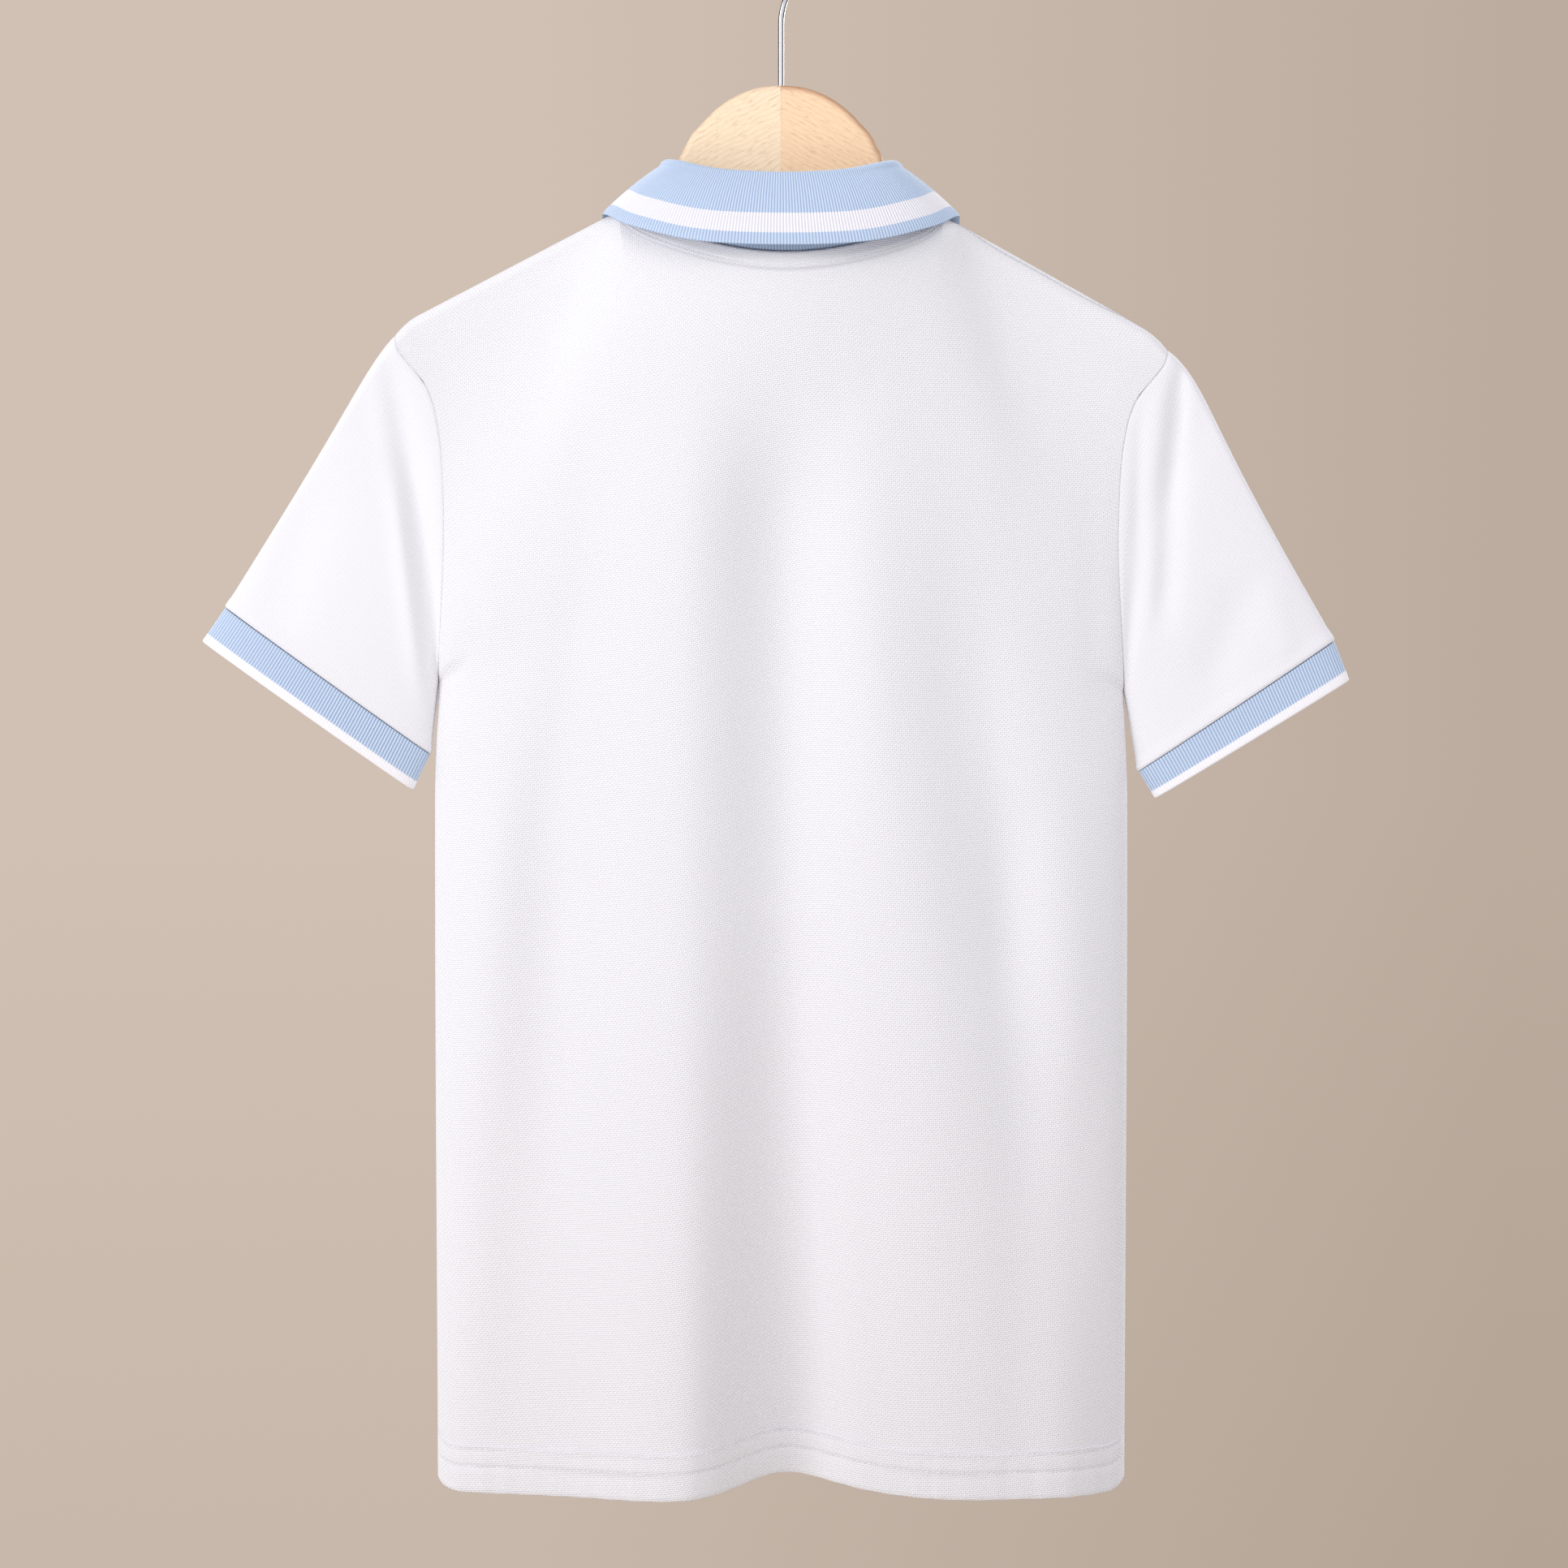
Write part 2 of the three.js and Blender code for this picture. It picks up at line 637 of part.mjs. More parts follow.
// The middle of the collar's wall in its section at a place along: 0 is the right front edge, 1 the left
function collarSection(place) {
  const turn = (place - 0.5) * 2;
  const side = turn < 0 ? -1 : 1;
  const angle = Math.abs(turn) * collarSections[collarSections.length - 1].angle;
  const value = (column) => readTable(collarSections, 'angle', column, angle);
  const radians = angle * Math.PI / 180;
  const face = angle < 90 ? 'back' : 'front';
  const seamX = side * neck.halfWidth * Math.sin(radians);
  const seamHeight = neckPlace(face, seamX).height + seamGap;
  const seamDepth = neck.depth[face] * Math.cos(radians);
  const inward = new THREE.Vector3(-seamX, -seamDepth, 0).setLength(ribWall / 2 + ribInset);
  const seam = new THREE.Vector3(seamX, seamDepth, seamHeight).add(inward);
  const tilt = collarTilt * side;
  const roll = new THREE.Vector3(side * value('rollX'), value('rollY'), value('rollZ') + tilt * value('rollX'));
  const edge = new THREE.Vector3(side * value('edgeX'), value('edgeY'), value('edgeZ') + tilt * value('edgeX'));
  const outwards = edge.clone().sub(roll).setZ(0).normalize();
  const up = new THREE.Vector3(0, 0, 1);
  const arc = [180, 130, 90, 50, 0].map((degrees) => {
    const bend = degrees * Math.PI / 180;
    return roll.clone()
      .addScaledVector(outwards, rollRadius * Math.cos(bend))
      .addScaledVector(up, rollRadius * (Math.sin(bend) - 1));
  });
  return [seam, ...arc, edge];
}

// The section's wall: points on the ribbed face and on the plain face, in step
function collarWall(place) {
  const line = collarSection(place);
  const small = 0.002;
  const ahead = collarSection(Math.min(1, place + small));
  const behind = collarSection(Math.max(0, place - small));
  return line.map((point, i) => {
    const across = line[Math.min(i + 1, line.length - 1)].clone().sub(line[Math.max(i - 1, 0)]);
    const along = ahead[i].clone().sub(behind[i]);
    const normal = along.cross(across).normalize();
    if (i === 0) normal.setZ(0).normalize();
    return { point, normal };
  });
}

// Places along the collar in step with the panels' columns round the neck
function collarPlaces() {
  const behind = neckTurns('back').slice(1);
  const infront = neckTurns('front').slice(1, -1).map((turn) => Math.PI - turn).reverse();
  const end = collarSections[collarSections.length - 1].angle * Math.PI / 180;
  const half = [...behind, ...infront, end].map((turn) => turn / end / 2);
  return [...half.map((turn) => 0.5 - turn).reverse(), 0.5, ...half.map((turn) => 0.5 + turn)];
}

function makeCollar() {
  const last = collarSection(0).length - 1;
  const coarse = collarPlaces();
  const leafLength = lengthOf((place) => collarSection(place)[last]);
  const fine = evenPlaces((place) => collarSection(place)[last], 2 * Math.round(leafLength / ribPitch));
  const row = (places, i, outAt) => places.map((at, k) => {
    const { point, normal } = collarWall(at)[i];
    return { at, point: point.clone().addScaledVector(normal, outAt(k)) };
  });
  const ribOut = (k) => (k % 2 ? ribWall / 2 : ribWall / 2 - ribHeight);
  const face = [];
  const under = [];
  for (let i = 0; i <= last; i += 1) {
    const onLeaf = i >= last - 1;
    face.push(onLeaf ? row(fine, i, ribOut) : row(coarse, i, () => ribWall / 2));
    under.push(row(coarse, i, () => -ribWall / 2));
  }
  const ring = [...face, ...under.reverse()];
  const triangles = [];
  ring.forEach((line, i) => zipRows(triangles, line, ring[(i + 1) % ring.length], false));
  under.reverse();
  for (let i = 0; i < last; i += 1) {
    const first = (rowOf) => rowOf[0].point;
    const end = (rowOf) => rowOf[rowOf.length - 1].point;
    addQuad(triangles, first(face[i]), first(face[i + 1]), first(under[i + 1]), first(under[i]));
    addQuad(triangles, end(under[i]), end(under[i + 1]), end(face[i + 1]), end(face[i]));
  }
  return closedGeometry(triangles);
}

// Joining and cutting

const wasm = await Module();
wasm.setup();

function toSolid(geometry) {
  const bare = geometry.clone();
  bare.deleteAttribute('normal');
  bare.deleteAttribute('uv');
  const merged = mergeVertices(bare, 1e-4);
  return new wasm.Manifold(new wasm.Mesh({
    numProp: 3,
    vertProperties: Float32Array.from(merged.attributes.position.array),
    triVerts: Uint32Array.from(merged.index.array),
  }));
}

function fromSolid(solid) {
  const mesh = solid.getMesh();
  const geometry = new THREE.BufferGeometry();
  geometry.setAttribute('position', new THREE.BufferAttribute(mesh.vertProperties, 3));
  geometry.setIndex(new THREE.BufferAttribute(mesh.triVerts, 1));
  geometry.computeVertexNormals();
  return geometry;
}

// Hanger

function armTopHeight(x) {
  return ridgeHeight(x) - clothWall - hanger.clothClearance;
}

// Upper outline of the wood from its middle to the arm's end, on one side
function hangerTop(side) {
  const lastX = hanger.armEnd - hanger.endRounding;
  const arm = [armX.first, lastX].map((x) => [side * x, armTopHeight(side * x)]);
  return [...yokeTop.map(([x, z]) => [side * x, z]), ...arm];
}

function hangerSilhouette() {
  const { armHeight, endRounding } = hanger;
  const end = (side) => {
    const x = side * hanger.armEnd;
    const top = armTopHeight(x);
    return [
      [x, top - endRounding],
      [x, top - armHeight + endRounding],
      [x - side * endRounding, top - armHeight],
    ];
  };
  const below = (side) => armX.under.map((x) => [side * x, armTopHeight(side * x) - armHeight]);
  const yokeBelow = (side) => yokeFoot.map(([x, z]) => [side * x, z]);
  const left = [...hangerTop(1), ...end(1), ...below(1), ...yokeBelow(1)];
  const right = [...hangerTop(-1), ...end(-1), ...below(-1), ...yokeBelow(-1)];
  const outline = [[0, hanger.top], ...left, [0, hanger.middleFoot], ...right.reverse()];
  return new THREE.Shape(outline.map(([x, z]) => new THREE.Vector2(x, z)));
}

function makeHangerHalves() {
  const wood = new THREE.ExtrudeGeometry(hangerSilhouette(), {
    depth: hanger.thickness - 2 * hanger.edgeRadius,
    bevelEnabled: true,
    bevelThickness: hanger.edgeRadius,
    bevelSize: hanger.edgeRadius,
    bevelOffset: -hanger.edgeRadius,
    bevelSegments: 3,
    curveSegments: 4,
  });
  wood.translate(0, 0, hanger.edgeRadius - hanger.thickness / 2);
  wood.rotateX(Math.PI / 2);
  const boreLength = 2 * hook.depthInWood;
  const boreBelow = 1;
  const bore = new THREE.CylinderGeometry(hook.wire / 2 + seamGap, hook.wire / 2 + seamGap, boreLength, 16);
  bore.rotateX(Math.PI / 2).translate(0, 0, hanger.top - boreBelow);
  const drilled = toSolid(wood).subtract(toSolid(bore));
  const reach = 2 * hanger.armEnd;
  const half = (side) => {
    const room = new THREE.BoxGeometry(reach, reach, reach);
    room.translate(side * (reach / 2 + seamGap / 2), 0, hanger.top);
    return fromSolid(drilled.intersect(toSolid(room)));
  };
  return { left: half(1), right: half(-1) };
}

// Middle line of the hook: straight stem, a bend to the right, then round over the rail to the tip
function hookLine() {
  const curlRadius = hook.innerRadius + hook.wire / 2;
  const curlHeight = -hook.innerRadius;
  const lean = hook.leanAngle;
  const bendRadius = curlRadius * Math.cos(lean) / (1 - Math.cos(lean));
  const bendStart = curlHeight - (curlRadius + bendRadius) * Math.sin(lean);
  const stemFoot = hanger.top - hook.depthInWood;
  const points = [];
  const add = (x, z) => points.push(new THREE.Vector3(x, 0, z));
  for (let i = 0; i < 6; i += 1) add(0, mix(stemFoot, bendStart, i / 6));
  for (let i = 0; i < 6; i += 1) {
    const turn = lean * i / 6;
    add(-bendRadius * (1 - Math.cos(turn)), bendStart + bendRadius * Math.sin(turn));
  }
  const from = Math.PI + lean;
  const to = -hook.tipAngle;
  const turns = 24;
  for (let i = 0; i <= turns; i += 1) {
    const angle = mix(from, to, i / turns);
    add(curlRadius * Math.cos(angle), curlHeight + curlRadius * Math.sin(angle));
  }
  return new THREE.CatmullRomCurve3(points);
}

function makeHook() {
  const section = new THREE.Shape();
  section.absarc(0, 0, hook.wire / 2, 0, 2 * Math.PI, false);
  return new THREE.ExtrudeGeometry(section, {
    extrudePath: hookLine(),
    steps: 42,
    curveSegments: 5,
    bevelEnabled: false,
  });
}

// Buttons

function makeButton() {
  const r = button.radius;
  const profile = [
    [0, 0],
    [0.8 * r, 0],
    [r, 0.8],
    [r, 1.8],
    [0.88 * r, 2.4],
    [0.74 * r, 2.2],
    [0.66 * r, 1.7],
    [0, 1.7],
  ];
  const disc = new THREE.LatheGeometry(profile.map(([x, y]) => new THREE.Vector2(x, y)), 16);
  let solid = toSolid(disc);
  for (let i = 0; i < 4; i += 1) {
    const angle = Math.PI / 4 + i * Math.PI / 2;
    const hole = new THREE.CylinderGeometry(button.holeRadius, button.holeRadius, 8, 6);
    hole.translate(button.holeOffset * Math.cos(angle), 0, button.holeOffset * Math.sin(angle));
    solid = solid.subtract(toSolid(hole));
  }
  return fromSolid(solid);
}

function placeButton(mesh, travel) {
  const level = travel < wrap.travel ? travel / wrap.travel - 1 : levelOfTravel(travel);
  const normal = panelNormal('front', 0, level);
  mesh.position.copy(offPanel('front', 0, level, 2 * seamGap + placket.stripWall + button.lift));
  mesh.quaternion.setFromUnitVectors(new THREE.Vector3(0, 1, 0), normal);
}

// Finishes

const whiteCloth = () => new THREE.MeshStandardMaterial({ color: 0xf2f1f6, roughness: 0.9, metalness: 0 });
const blueRib = () => new THREE.MeshStandardMaterial({ color: 0xbccbe8, roughness: 0.9, metalness: 0 });
const paleWood = () => new THREE.MeshStandardMaterial({ color: 0xf0cfae, roughness: 0.5, metalness: 0 });
const brightSteel = () => new THREE.MeshStandardMaterial({ color: 0xc8c8cc, roughness: 0.2, metalness: 1 });
const buttonShell = () => new THREE.MeshStandardMaterial({ color: 0xf4f2ee, roughness: 0.3, metalness: 0 });

const part = new THREE.Group();

function addPiece(name, geometry, material) {
  const mesh = new THREE.Mesh(geometry, material);
  mesh.name = name;
  part.add(mesh);
  return mesh;
}

const halves = makeHangerHalves();
addPiece('back_panel', makeBack(), whiteCloth());
addPiece('front_panel', makeFront(), whiteCloth());
addPiece('placket_under', makePlacketUnder(), whiteCloth());
addPiece('placket_upper', makePlacketUpper(), whiteCloth());
addPiece('sleeve_left', makeSleeve(sleeves.left), whiteCloth());
addPiece('sleeve_right', makeSleeve(sleeves.right), whiteCloth());
addPiece('cuff_left', makeCuff(sleeves.left), blueRib());
addPiece('cuff_right', makeCuff(sleeves.right), blueRib());
addPiece('collar', makeCollar(), blueRib());
button.places.forEach((travel, i) => {
  placeButton(addPiece(`button_${i + 1}`, makeButton(), buttonShell()), travel);
});
addPiece('hanger_half_left', halves.left, paleWood());
addPiece('hanger_half_right', halves.right, paleWood());
addPiece('hanger_hook', makeHook(), brightSteel());

export default part;
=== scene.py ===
"""White piqué polo shirt with pale blue knit collar and cuffs, hung on a beech hanger.

Lengths are millimetres in the tables and formulas, and metres in the meshes.
The shirt's back faces +Y, its placket faces -Y, and the rail would pass through the origin.
"""

import math

import bmesh
import bpy
import numpy as np
from mathutils import Matrix, Vector


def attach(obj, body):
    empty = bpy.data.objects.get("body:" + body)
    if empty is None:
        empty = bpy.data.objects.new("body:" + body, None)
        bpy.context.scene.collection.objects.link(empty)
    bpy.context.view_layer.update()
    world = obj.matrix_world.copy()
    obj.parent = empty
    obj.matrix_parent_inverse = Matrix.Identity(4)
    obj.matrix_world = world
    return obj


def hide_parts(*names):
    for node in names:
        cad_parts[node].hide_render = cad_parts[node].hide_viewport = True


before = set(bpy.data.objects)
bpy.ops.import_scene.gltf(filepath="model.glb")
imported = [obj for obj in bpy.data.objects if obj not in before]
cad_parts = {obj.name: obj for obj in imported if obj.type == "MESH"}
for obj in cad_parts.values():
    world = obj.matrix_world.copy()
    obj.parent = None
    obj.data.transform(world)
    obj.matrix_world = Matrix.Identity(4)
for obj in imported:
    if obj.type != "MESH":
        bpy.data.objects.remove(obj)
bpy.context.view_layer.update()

MM = 0.001


def rows(columns, *lines):
    """A short table: the column names, then one line of values for each row."""
    names = columns.split()
    return [dict(zip(names, line, strict=True)) for line in lines]


# Cloth, knit and seams
CLOTH_WALL = 1.5
RIB_WALL = 1.6
SEAM_GAP = 0.3
SEAM_TUCK = 0.2
RIB_PITCH = 1.65
RIB_HEIGHT = 0.45
WEAVE_CELL = 1.05

# Shoulder, neck and the way over the hanger's arm
CORNER_HEIGHT = -157.9
SHOULDER_FALL = 0.54
SHOULDER_X = 199.5
ROUND_FROM = 188
ROUND_DROP = 4
ASKEW = 0.019
NECK_HALF = 83
NECK_DEPTH = {"back": 40, "front": 32}
NECK_DROP = {"back": 26.6, "front": 62}
NECK_SPREAD = 0.5
NECK_SOFTNESS = 0.22
NECK_SOFT_OVER = 30
UPRIGHT_DEPTH = 30
NECK_BAND = 8
NECK_BAND_LOWER = 5
NECK_LINE = 6.6
SHOULDER_STRIP = 7
SHOULDER_LINE = 5.8
BODY_REACH = 140
WRAP_FLAT = 2
WRAP_RADIUS = 6.4
WRAP_TRAVEL = 17
WRAP_LOSS = WRAP_FLAT + WRAP_RADIUS * (math.pi / 2 - 1)
OUTWARD = {"back": 1, "front": -1}

# Hem
HEM_HEIGHT = -816
HEM_RISE = 8
HEM_RISE_AT = -10
HEM_RISE_WIDTH = 42
HEM_CORNER_FROM = 184
HEM_CORNER_RISE = 5
HEM_BAND = 24
HEM_FIRST_LINE = 22.4
HEM_SECOND_LINE = 13.6
# Rows of the hem band, as distances from the hem, closer at its edge and at its stitch lines
HEM_ROWS = (24.4, 23.7, 23.1, 22.4, 21.7, 20, 17, 15, 14.3, 13.6, 12.9, 12.2)
HEM_EDGE_ROWS = (9, 5, 2.5, 1.2, 0.3, 0)

# Armhole and side
ARMHOLE_TRAVEL = 185
ARMHOLE_HALF_TOP = 8.4
ARMHOLE_HALF_GAIN = 4.5
# How full a panel's section is, above the under arm and below it, with the change as shares of
# the armhole's depth
FULLNESS_FROM = 0.3
FULLNESS_OVER = 0.9
FULLNESS_ACROSS = (2, 2.6)
FULLNESS_POWER = (1, 0.5)
SIDE_FADE_FROM = 190
SIDE_OUTLINE = rows(
    "travel half_width",
    (0, 199.5),
    (14, 197),
    (33, 182.5),
    (55, 176.3),
    (85, 173.8),
    (120, 173.5),
    (185, 177),
    (247, 179),
    (597, 177.5),
)
SIDE_TRAVEL = SIDE_OUTLINE[-1]["travel"]

# Depth of each panel on the middle line, before its folds
MIDDLE_DEPTH = {
    "back": rows("height depth", (-184, 40), (-260, 33), (-400, 29), (-600, 27), (-816, 26)),
    "front": rows("height depth", (-220, 32), (-300, 31), (-400, 29), (-600, 28), (-816, 27)),
}

# Hanging folds: crests stand out, valleys go in, and each drifts sideways on its way to the hem
FOLD_COLUMNS = "top_x hem_x start mid_rise hem_rise width"
FOLDS = {
    "back": rows(
        FOLD_COLUMNS,
        (46, 54, -185, 8, 14, 36),
        (0, 1, -205, -9, -27, 25),
        (-42, -100, -185, 7.5, 10, 42),
        (-50, -165, -285, -8.5, -1, 26),
        (98, 136, -400, -5, -1, 22),
        (128, 166, -400, 4, 1, 20),
        (-140, -150, -410, 5, 11, 24),
    ),
    "front": rows(
        FOLD_COLUMNS,
        (52, 78, -230, 8, 13, 38),
        (0, 12, -350, -6, -13, 34),
        (-58, -50, -230, 7, 13, 36),
        (-104, -112, -300, -6, -9, 26),
        (106, 130, -320, -6, -6, 24),
    ),
}
FOLD_MIDDLE = -520
FOLD_GROWTH = 140

# Softer, shorter creases laid over the folds: from one point to another, with a width and a rise
CREASE_COLUMNS = "from_x from_z to_x to_z width rise"
CREASES = {
    "back": rows(
        CREASE_COLUMNS,
        (101, -225, 92, -330, 11, -0.9),
        (92, -330, 128, -500, 14, -1.3),
        (148, -290, 160, -420, 16, 1.0),
        (-25, -200, -32, -270, 11, -1.1),
        (-48, -205, -46, -262, 9, -0.9),
        (-66, -225, -88, -330, 10, -0.8),
        (-120, -470, -112, -560, 16, -1.4),
        (-160, -300, -163, -410, 8, -1.6),
        (-95, -240, -110, -330, 12, 0.7),
        (150, -620, 142, -760, 16, -1.0),
        (96, -600, 88, -740, 15, 0.9),
        (-60, -640, -66, -780, 12, 0.9),
        (-158, -600, -150, -700, 12, -1.1),
    ),
    "front": rows(
        CREASE_COLUMNS,
        (84, -225, 96, -340, 12, -1.2),
        (-88, -225, -96, -330, 12, -1.1),
        (150, -300, 158, -420, 12, 1.1),
        (-152, -290, -160, -410, 11, -1.4),
        (30, -360, 36, -520, 14, 1.2),
        (-26, -350, -24, -470, 12, -0.9),
        (-150, -560, -140, -720, 16, 1.2),
        (152, -600, 144, -750, 15, -1.1),
        (24, -640, 20, -780, 12, -0.9),
    ),
}

# Sleeve ends: corners of the cuff seam and of the cuff's edge, outer one first
SLEEVES = {
    "left": {
        "side": 1,
        "seam_outer": (287.3, -361.2),
        "seam_inner": (181.2, -437.2),
        "edge_outer": (299.5, -378.9),
        "edge_inner": (190.3, -456),
        "cap_bulge": 2,
    },
    "right": {
        "side": -1,
        "seam_outer": (286, -378.4),
        "seam_inner": (184.6, -446.1),
        "edge_outer": (294, -399),
        "edge_inner": (193.2, -460.3),
        "cap_bulge": 4.4,
    },
}
SLEEVE_HALF_DEPTH = 11
SLEEVE_TROUGH_AT = 0.2
SLEEVE_TROUGH_WIDTH = 0.1
SLEEVE_TROUGH_DEPTH = 4.5
SLEEVE_CAP_AT = 0.14

# Softening of the grid: below each neck corner, and inside of each under arm
CORNER_SOFTENING = {"half_width": 30, "from_travel": 2, "over_travel": 45, "reach": 10}
UNDER_ARM_SOFTENING = {"out_to": 172, "fade": 20, "half_travel": 60, "reach": 12}

# Creases of the sleeves, in x and z as the folds are; face 1 is the back of the sleeve
SLEEVE_CREASES = {
    "left": rows(
        "face " + CREASE_COLUMNS,
        (1, 203, -232, 190, -302, 7, -2.6),
        (1, 190.5, -296, 180, -396, 6, -2.6),
        (1, 208, -245, 196, -312, 7, 1.6),
        (1, 197, -306, 185, -404, 5.5, 2.4),
        (1, 244, -300, 262, -372, 16, -2.2),
        (-1, 200, -240, 190, -330, 8, -2.4),
        (-1, 240, -310, 236, -392, 14, -1.8),
        (-1, 262, -320, 272, -366, 9, 1.2),
    ),
    "right": rows(
        "face " + CREASE_COLUMNS,
        (1, -207, -234, -204, -272, 3.6, -2.6),
        (1, -205, -238, -201, -300, 5, -3.6),
        (1, -201, -296, -197, -366, 7, -2.6),
        (1, -196, -250, -189, -350, 8, 1.9),
        (1, -185, -262, -183, -330, 4, -1.0),
        (1, -238, -352, -220, -404, 12, -1.6),
        (1, -252, -350, -262, -392, 9, 1.0),
        (-1, -198, -250, -190, -350, 8, -2.2),
        (-1, -240, -330, -248, -402, 14, -1.7),
    ),
}

# Collar sections from the middle of the back (0 degrees) to the front edge, on the left half.
# The first row mirrors the third, so that the two halves run smoothly into each other.
COLLAR_SECTIONS = rows(
    "angle roll_x roll_y roll_z edge_x edge_y edge_z",
    (-30, -31, 28, -140.8, -43, 45, -179.2),
    (0, 0, 30, -142.6, 0, 48, -181.7),
    (30, 31, 28, -140.8, 43, 45, -179.2),
    (60, 52.5, 20, -135.2, 76, 31, -169.4),
    (90, 59.5, 4, -132.2, 91, 7, -159.5),
    (102, 59, -4, -134.6, 92.5, -10, -160.2),
    (115, 57, -11, -138.6, 92.5, -22, -169.5),
    (140, 43, -22, -155, 84, -29, -205),
    (160, 24, -28, -174, 68, -39, -235),
    (178, 4, -31, -184, 46, -47, -262),
)
COLLAR_TILT = 0.005
ROLL_RADIUS = 2.6
COLLAR_EDGE_BAND = 5.8
COLLAR_WHITE_BAND = 11.5
CUFF_WHITE_BAND = 5.6
CUFF_WHITE_FROM = 16.4
CUFF_WHITE_TO = 60

# Placket and buttons
SLOT_HALF = 12
STRIP_HALF = 15
STRIP_WALL = 1.6
STRIP_LINE = 2.2
PLACKET_LENGTH = 118
BUTTON_RADIUS = 5.5
BUTTON_TRAVELS = (16, 78)
BUTTON_PROFILE = rows(
    "radius_share height",
    (0, 0),
    (0.78, 0),
    (0.94, 0.25),
    (1, 0.8),
    (1, 1.7),
    (0.96, 2.2),
    (0.88, 2.4),
    (0.8, 2.3),
    (0.72, 1.95),
    (0.64, 1.75),
    (0.3, 1.68),
    (0, 1.66),
)
HOLE_PLACE = 1.35
HOLE_RADIUS = 0.75
BUTTON_THREAD = 0.2

# Hanger and hook
WOOD_THICKNESS = 12
WOOD_ROUNDING = 4
WOOD_TOP = -92
JOINT_HALF_GAP = 0.03
YOKE_TOP = [(12, -93.3), (23.5, -97.5), (33.5, -104.2), (40.5, -111.2), (46.3, -117.6)]
YOKE_SIDE = [(50, -124.3), (52.6, -129.5), (54.4, -137), (60, -148), (68.5, -157)]
YOKE_FOOT = [(56, -170), (30, -153), (JOINT_HALF_GAP, -146)]
ARM_END = 189
ARM_HEIGHT = 27
WIRE = 3.1
HOOK_INNER = 18
HOOK_LEAN = math.radians(50)
HOOK_TIP = math.radians(32)
HOOK_IN_WOOD = 20
BORE_GAP = 0.25
BORE_DEPTH = 22

# Stage, in metres
FLOOR_RADIUS = 0.68
FLOOR_HEIGHT = -1.05
CAMERA_DISTANCE = 1.6
VIEW_WIDTH = 0.811
VIEW_MIDDLE = (-0.0015, -0.4528)
SENSOR_MM = 36
LIGHT_TARGET = (0, 0, -0.42)
LIGHTS = rows(
    "name place size power",
    ("key", (2.1, 1.3, 0.35), (1.3, 1.7), 25),
    ("high_soft", (-1.15, 1.6, 1.25), (2.0, 1.5), 19),
    ("low_fill", (0, 2.0, -1.8), (1.2, 0.8), 6.5),
    ("front_key", (-1.9, -1.5, 0.4), (0.9, 1.2), 24),
)

# Colours
BLUE = (0.64, 0.735, 0.865, 1)
WHITE_RIB = (0.93, 0.915, 0.935, 1)
# Painted shade in the grooves between the ribs, for blue and for white knit
BLUE_GROOVE_SHADE_SHARES = (0.44, 0.55, 0.72)
WHITE_GROOVE_SHADE = (0.66, 0.65, 0.74, 1)
BODY_YARN = (0.905, 0.90, 0.915, 1)
SLEEVE_YARN = (0.88, 0.875, 0.90, 1)
# Painted shade in the hollows of the piqué weave
COTTON_HOLLOW_SHADE = (0.765, 0.758, 0.795, 1)
# Painted shade along the seams, band edges and stitch grooves of the white cloth
COTTON_SEAM_SHADE = (0.42, 0.42, 0.50, 1)
LEFT_BEECH = (0.94, 0.76, 0.56, 1)
RIGHT_BEECH = (0.93, 0.67, 0.445, 1)
BEECH_FLECK = (0.60, 0.38, 0.21, 1)
# Painted shade on the rounded edges of the wood
BEECH_EDGE_SHADE = (0.42, 0.17, 0.07, 1)


# Small helpers


def mix(a, b, t):
    return a + (b - a) * t


def ease(t):
    """A soft step from 0 to 1."""
    t = np.clip(t, 0, 1)
    return t * t * (3 - 2 * t)


def curve_shares(t):
    """Shares of the start, the slope there, the end and the slope there on a smooth span."""
    return 2 * t**3 - 3 * t**2 + 1, t**3 - 2 * t**2 + t, 3 * t**2 - 2 * t**3, t**3 - t**2


def table_value(table, key, column, at):
    """Smooth values from a table's named columns, with soft turns at its rows."""
    keys = np.array([row[key] for row in table], float)
    values = np.array([row[column] for row in table], float)
    if keys[0] > keys[-1]:
        keys, values = keys[::-1], values[::-1]
    slopes = np.gradient(values, keys)
    slopes[1:-1] = (values[2:] - values[:-2]) / (keys[2:] - keys[:-2])
    at = np.asarray(at, float)
    i = np.clip(np.searchsorted(keys, at, side="right") - 1, 0, len(keys) - 2)
    span = keys[i + 1] - keys[i]
    t = np.clip((at - keys[i]) / span, 0, 1)
    start, leave, end, arrive = curve_shares(t)
    along = start * values[i] + leave * slopes[i] * span
    return along + end * values[i + 1] + arrive * slopes[i + 1] * span


def unit(vectors):
    length = np.linalg.norm(vectors, axis=-1, keepdims=True)
    return vectors / np.maximum(length, 1e-9)


def even_angles(count):
    return np.arange(count) / count * 2 * math.pi


def lengths_along(points, axis=0):
    """Distance travelled along one axis of a grid of points, from 0."""
    steps = np.linalg.norm(np.diff(points, axis=axis), axis=-1)
    start = np.zeros_like(np.take(steps, [0], axis=axis))
    return np.concatenate([start, np.cumsum(steps, axis=axis)], axis=axis)


def crease_rise(creases, x, z):
    """Soft troughs and ridges between two points each, fading out at both ends."""
    total = np.zeros_like(x)
    for crease in creases:
        run_x = crease["to_x"] - crease["from_x"]
        run_z = crease["to_z"] - crease["from_z"]
        length = math.hypot(run_x, run_z)
        along = ((x - crease["from_x"]) * run_x + (z - crease["from_z"]) * run_z) / length**2
        aside = ((x - crease["from_x"]) * run_z - (z - crease["from_z"]) * run_x) / length
        fade = ease((along + 0.25) / 0.5) * ease((1.25 - along) / 0.5)
        total += crease["rise"] * fade * np.exp(-((aside / crease["width"]) ** 2))
    return total


# Body cloth: the same surface as the solids, worked out for whole grids of points


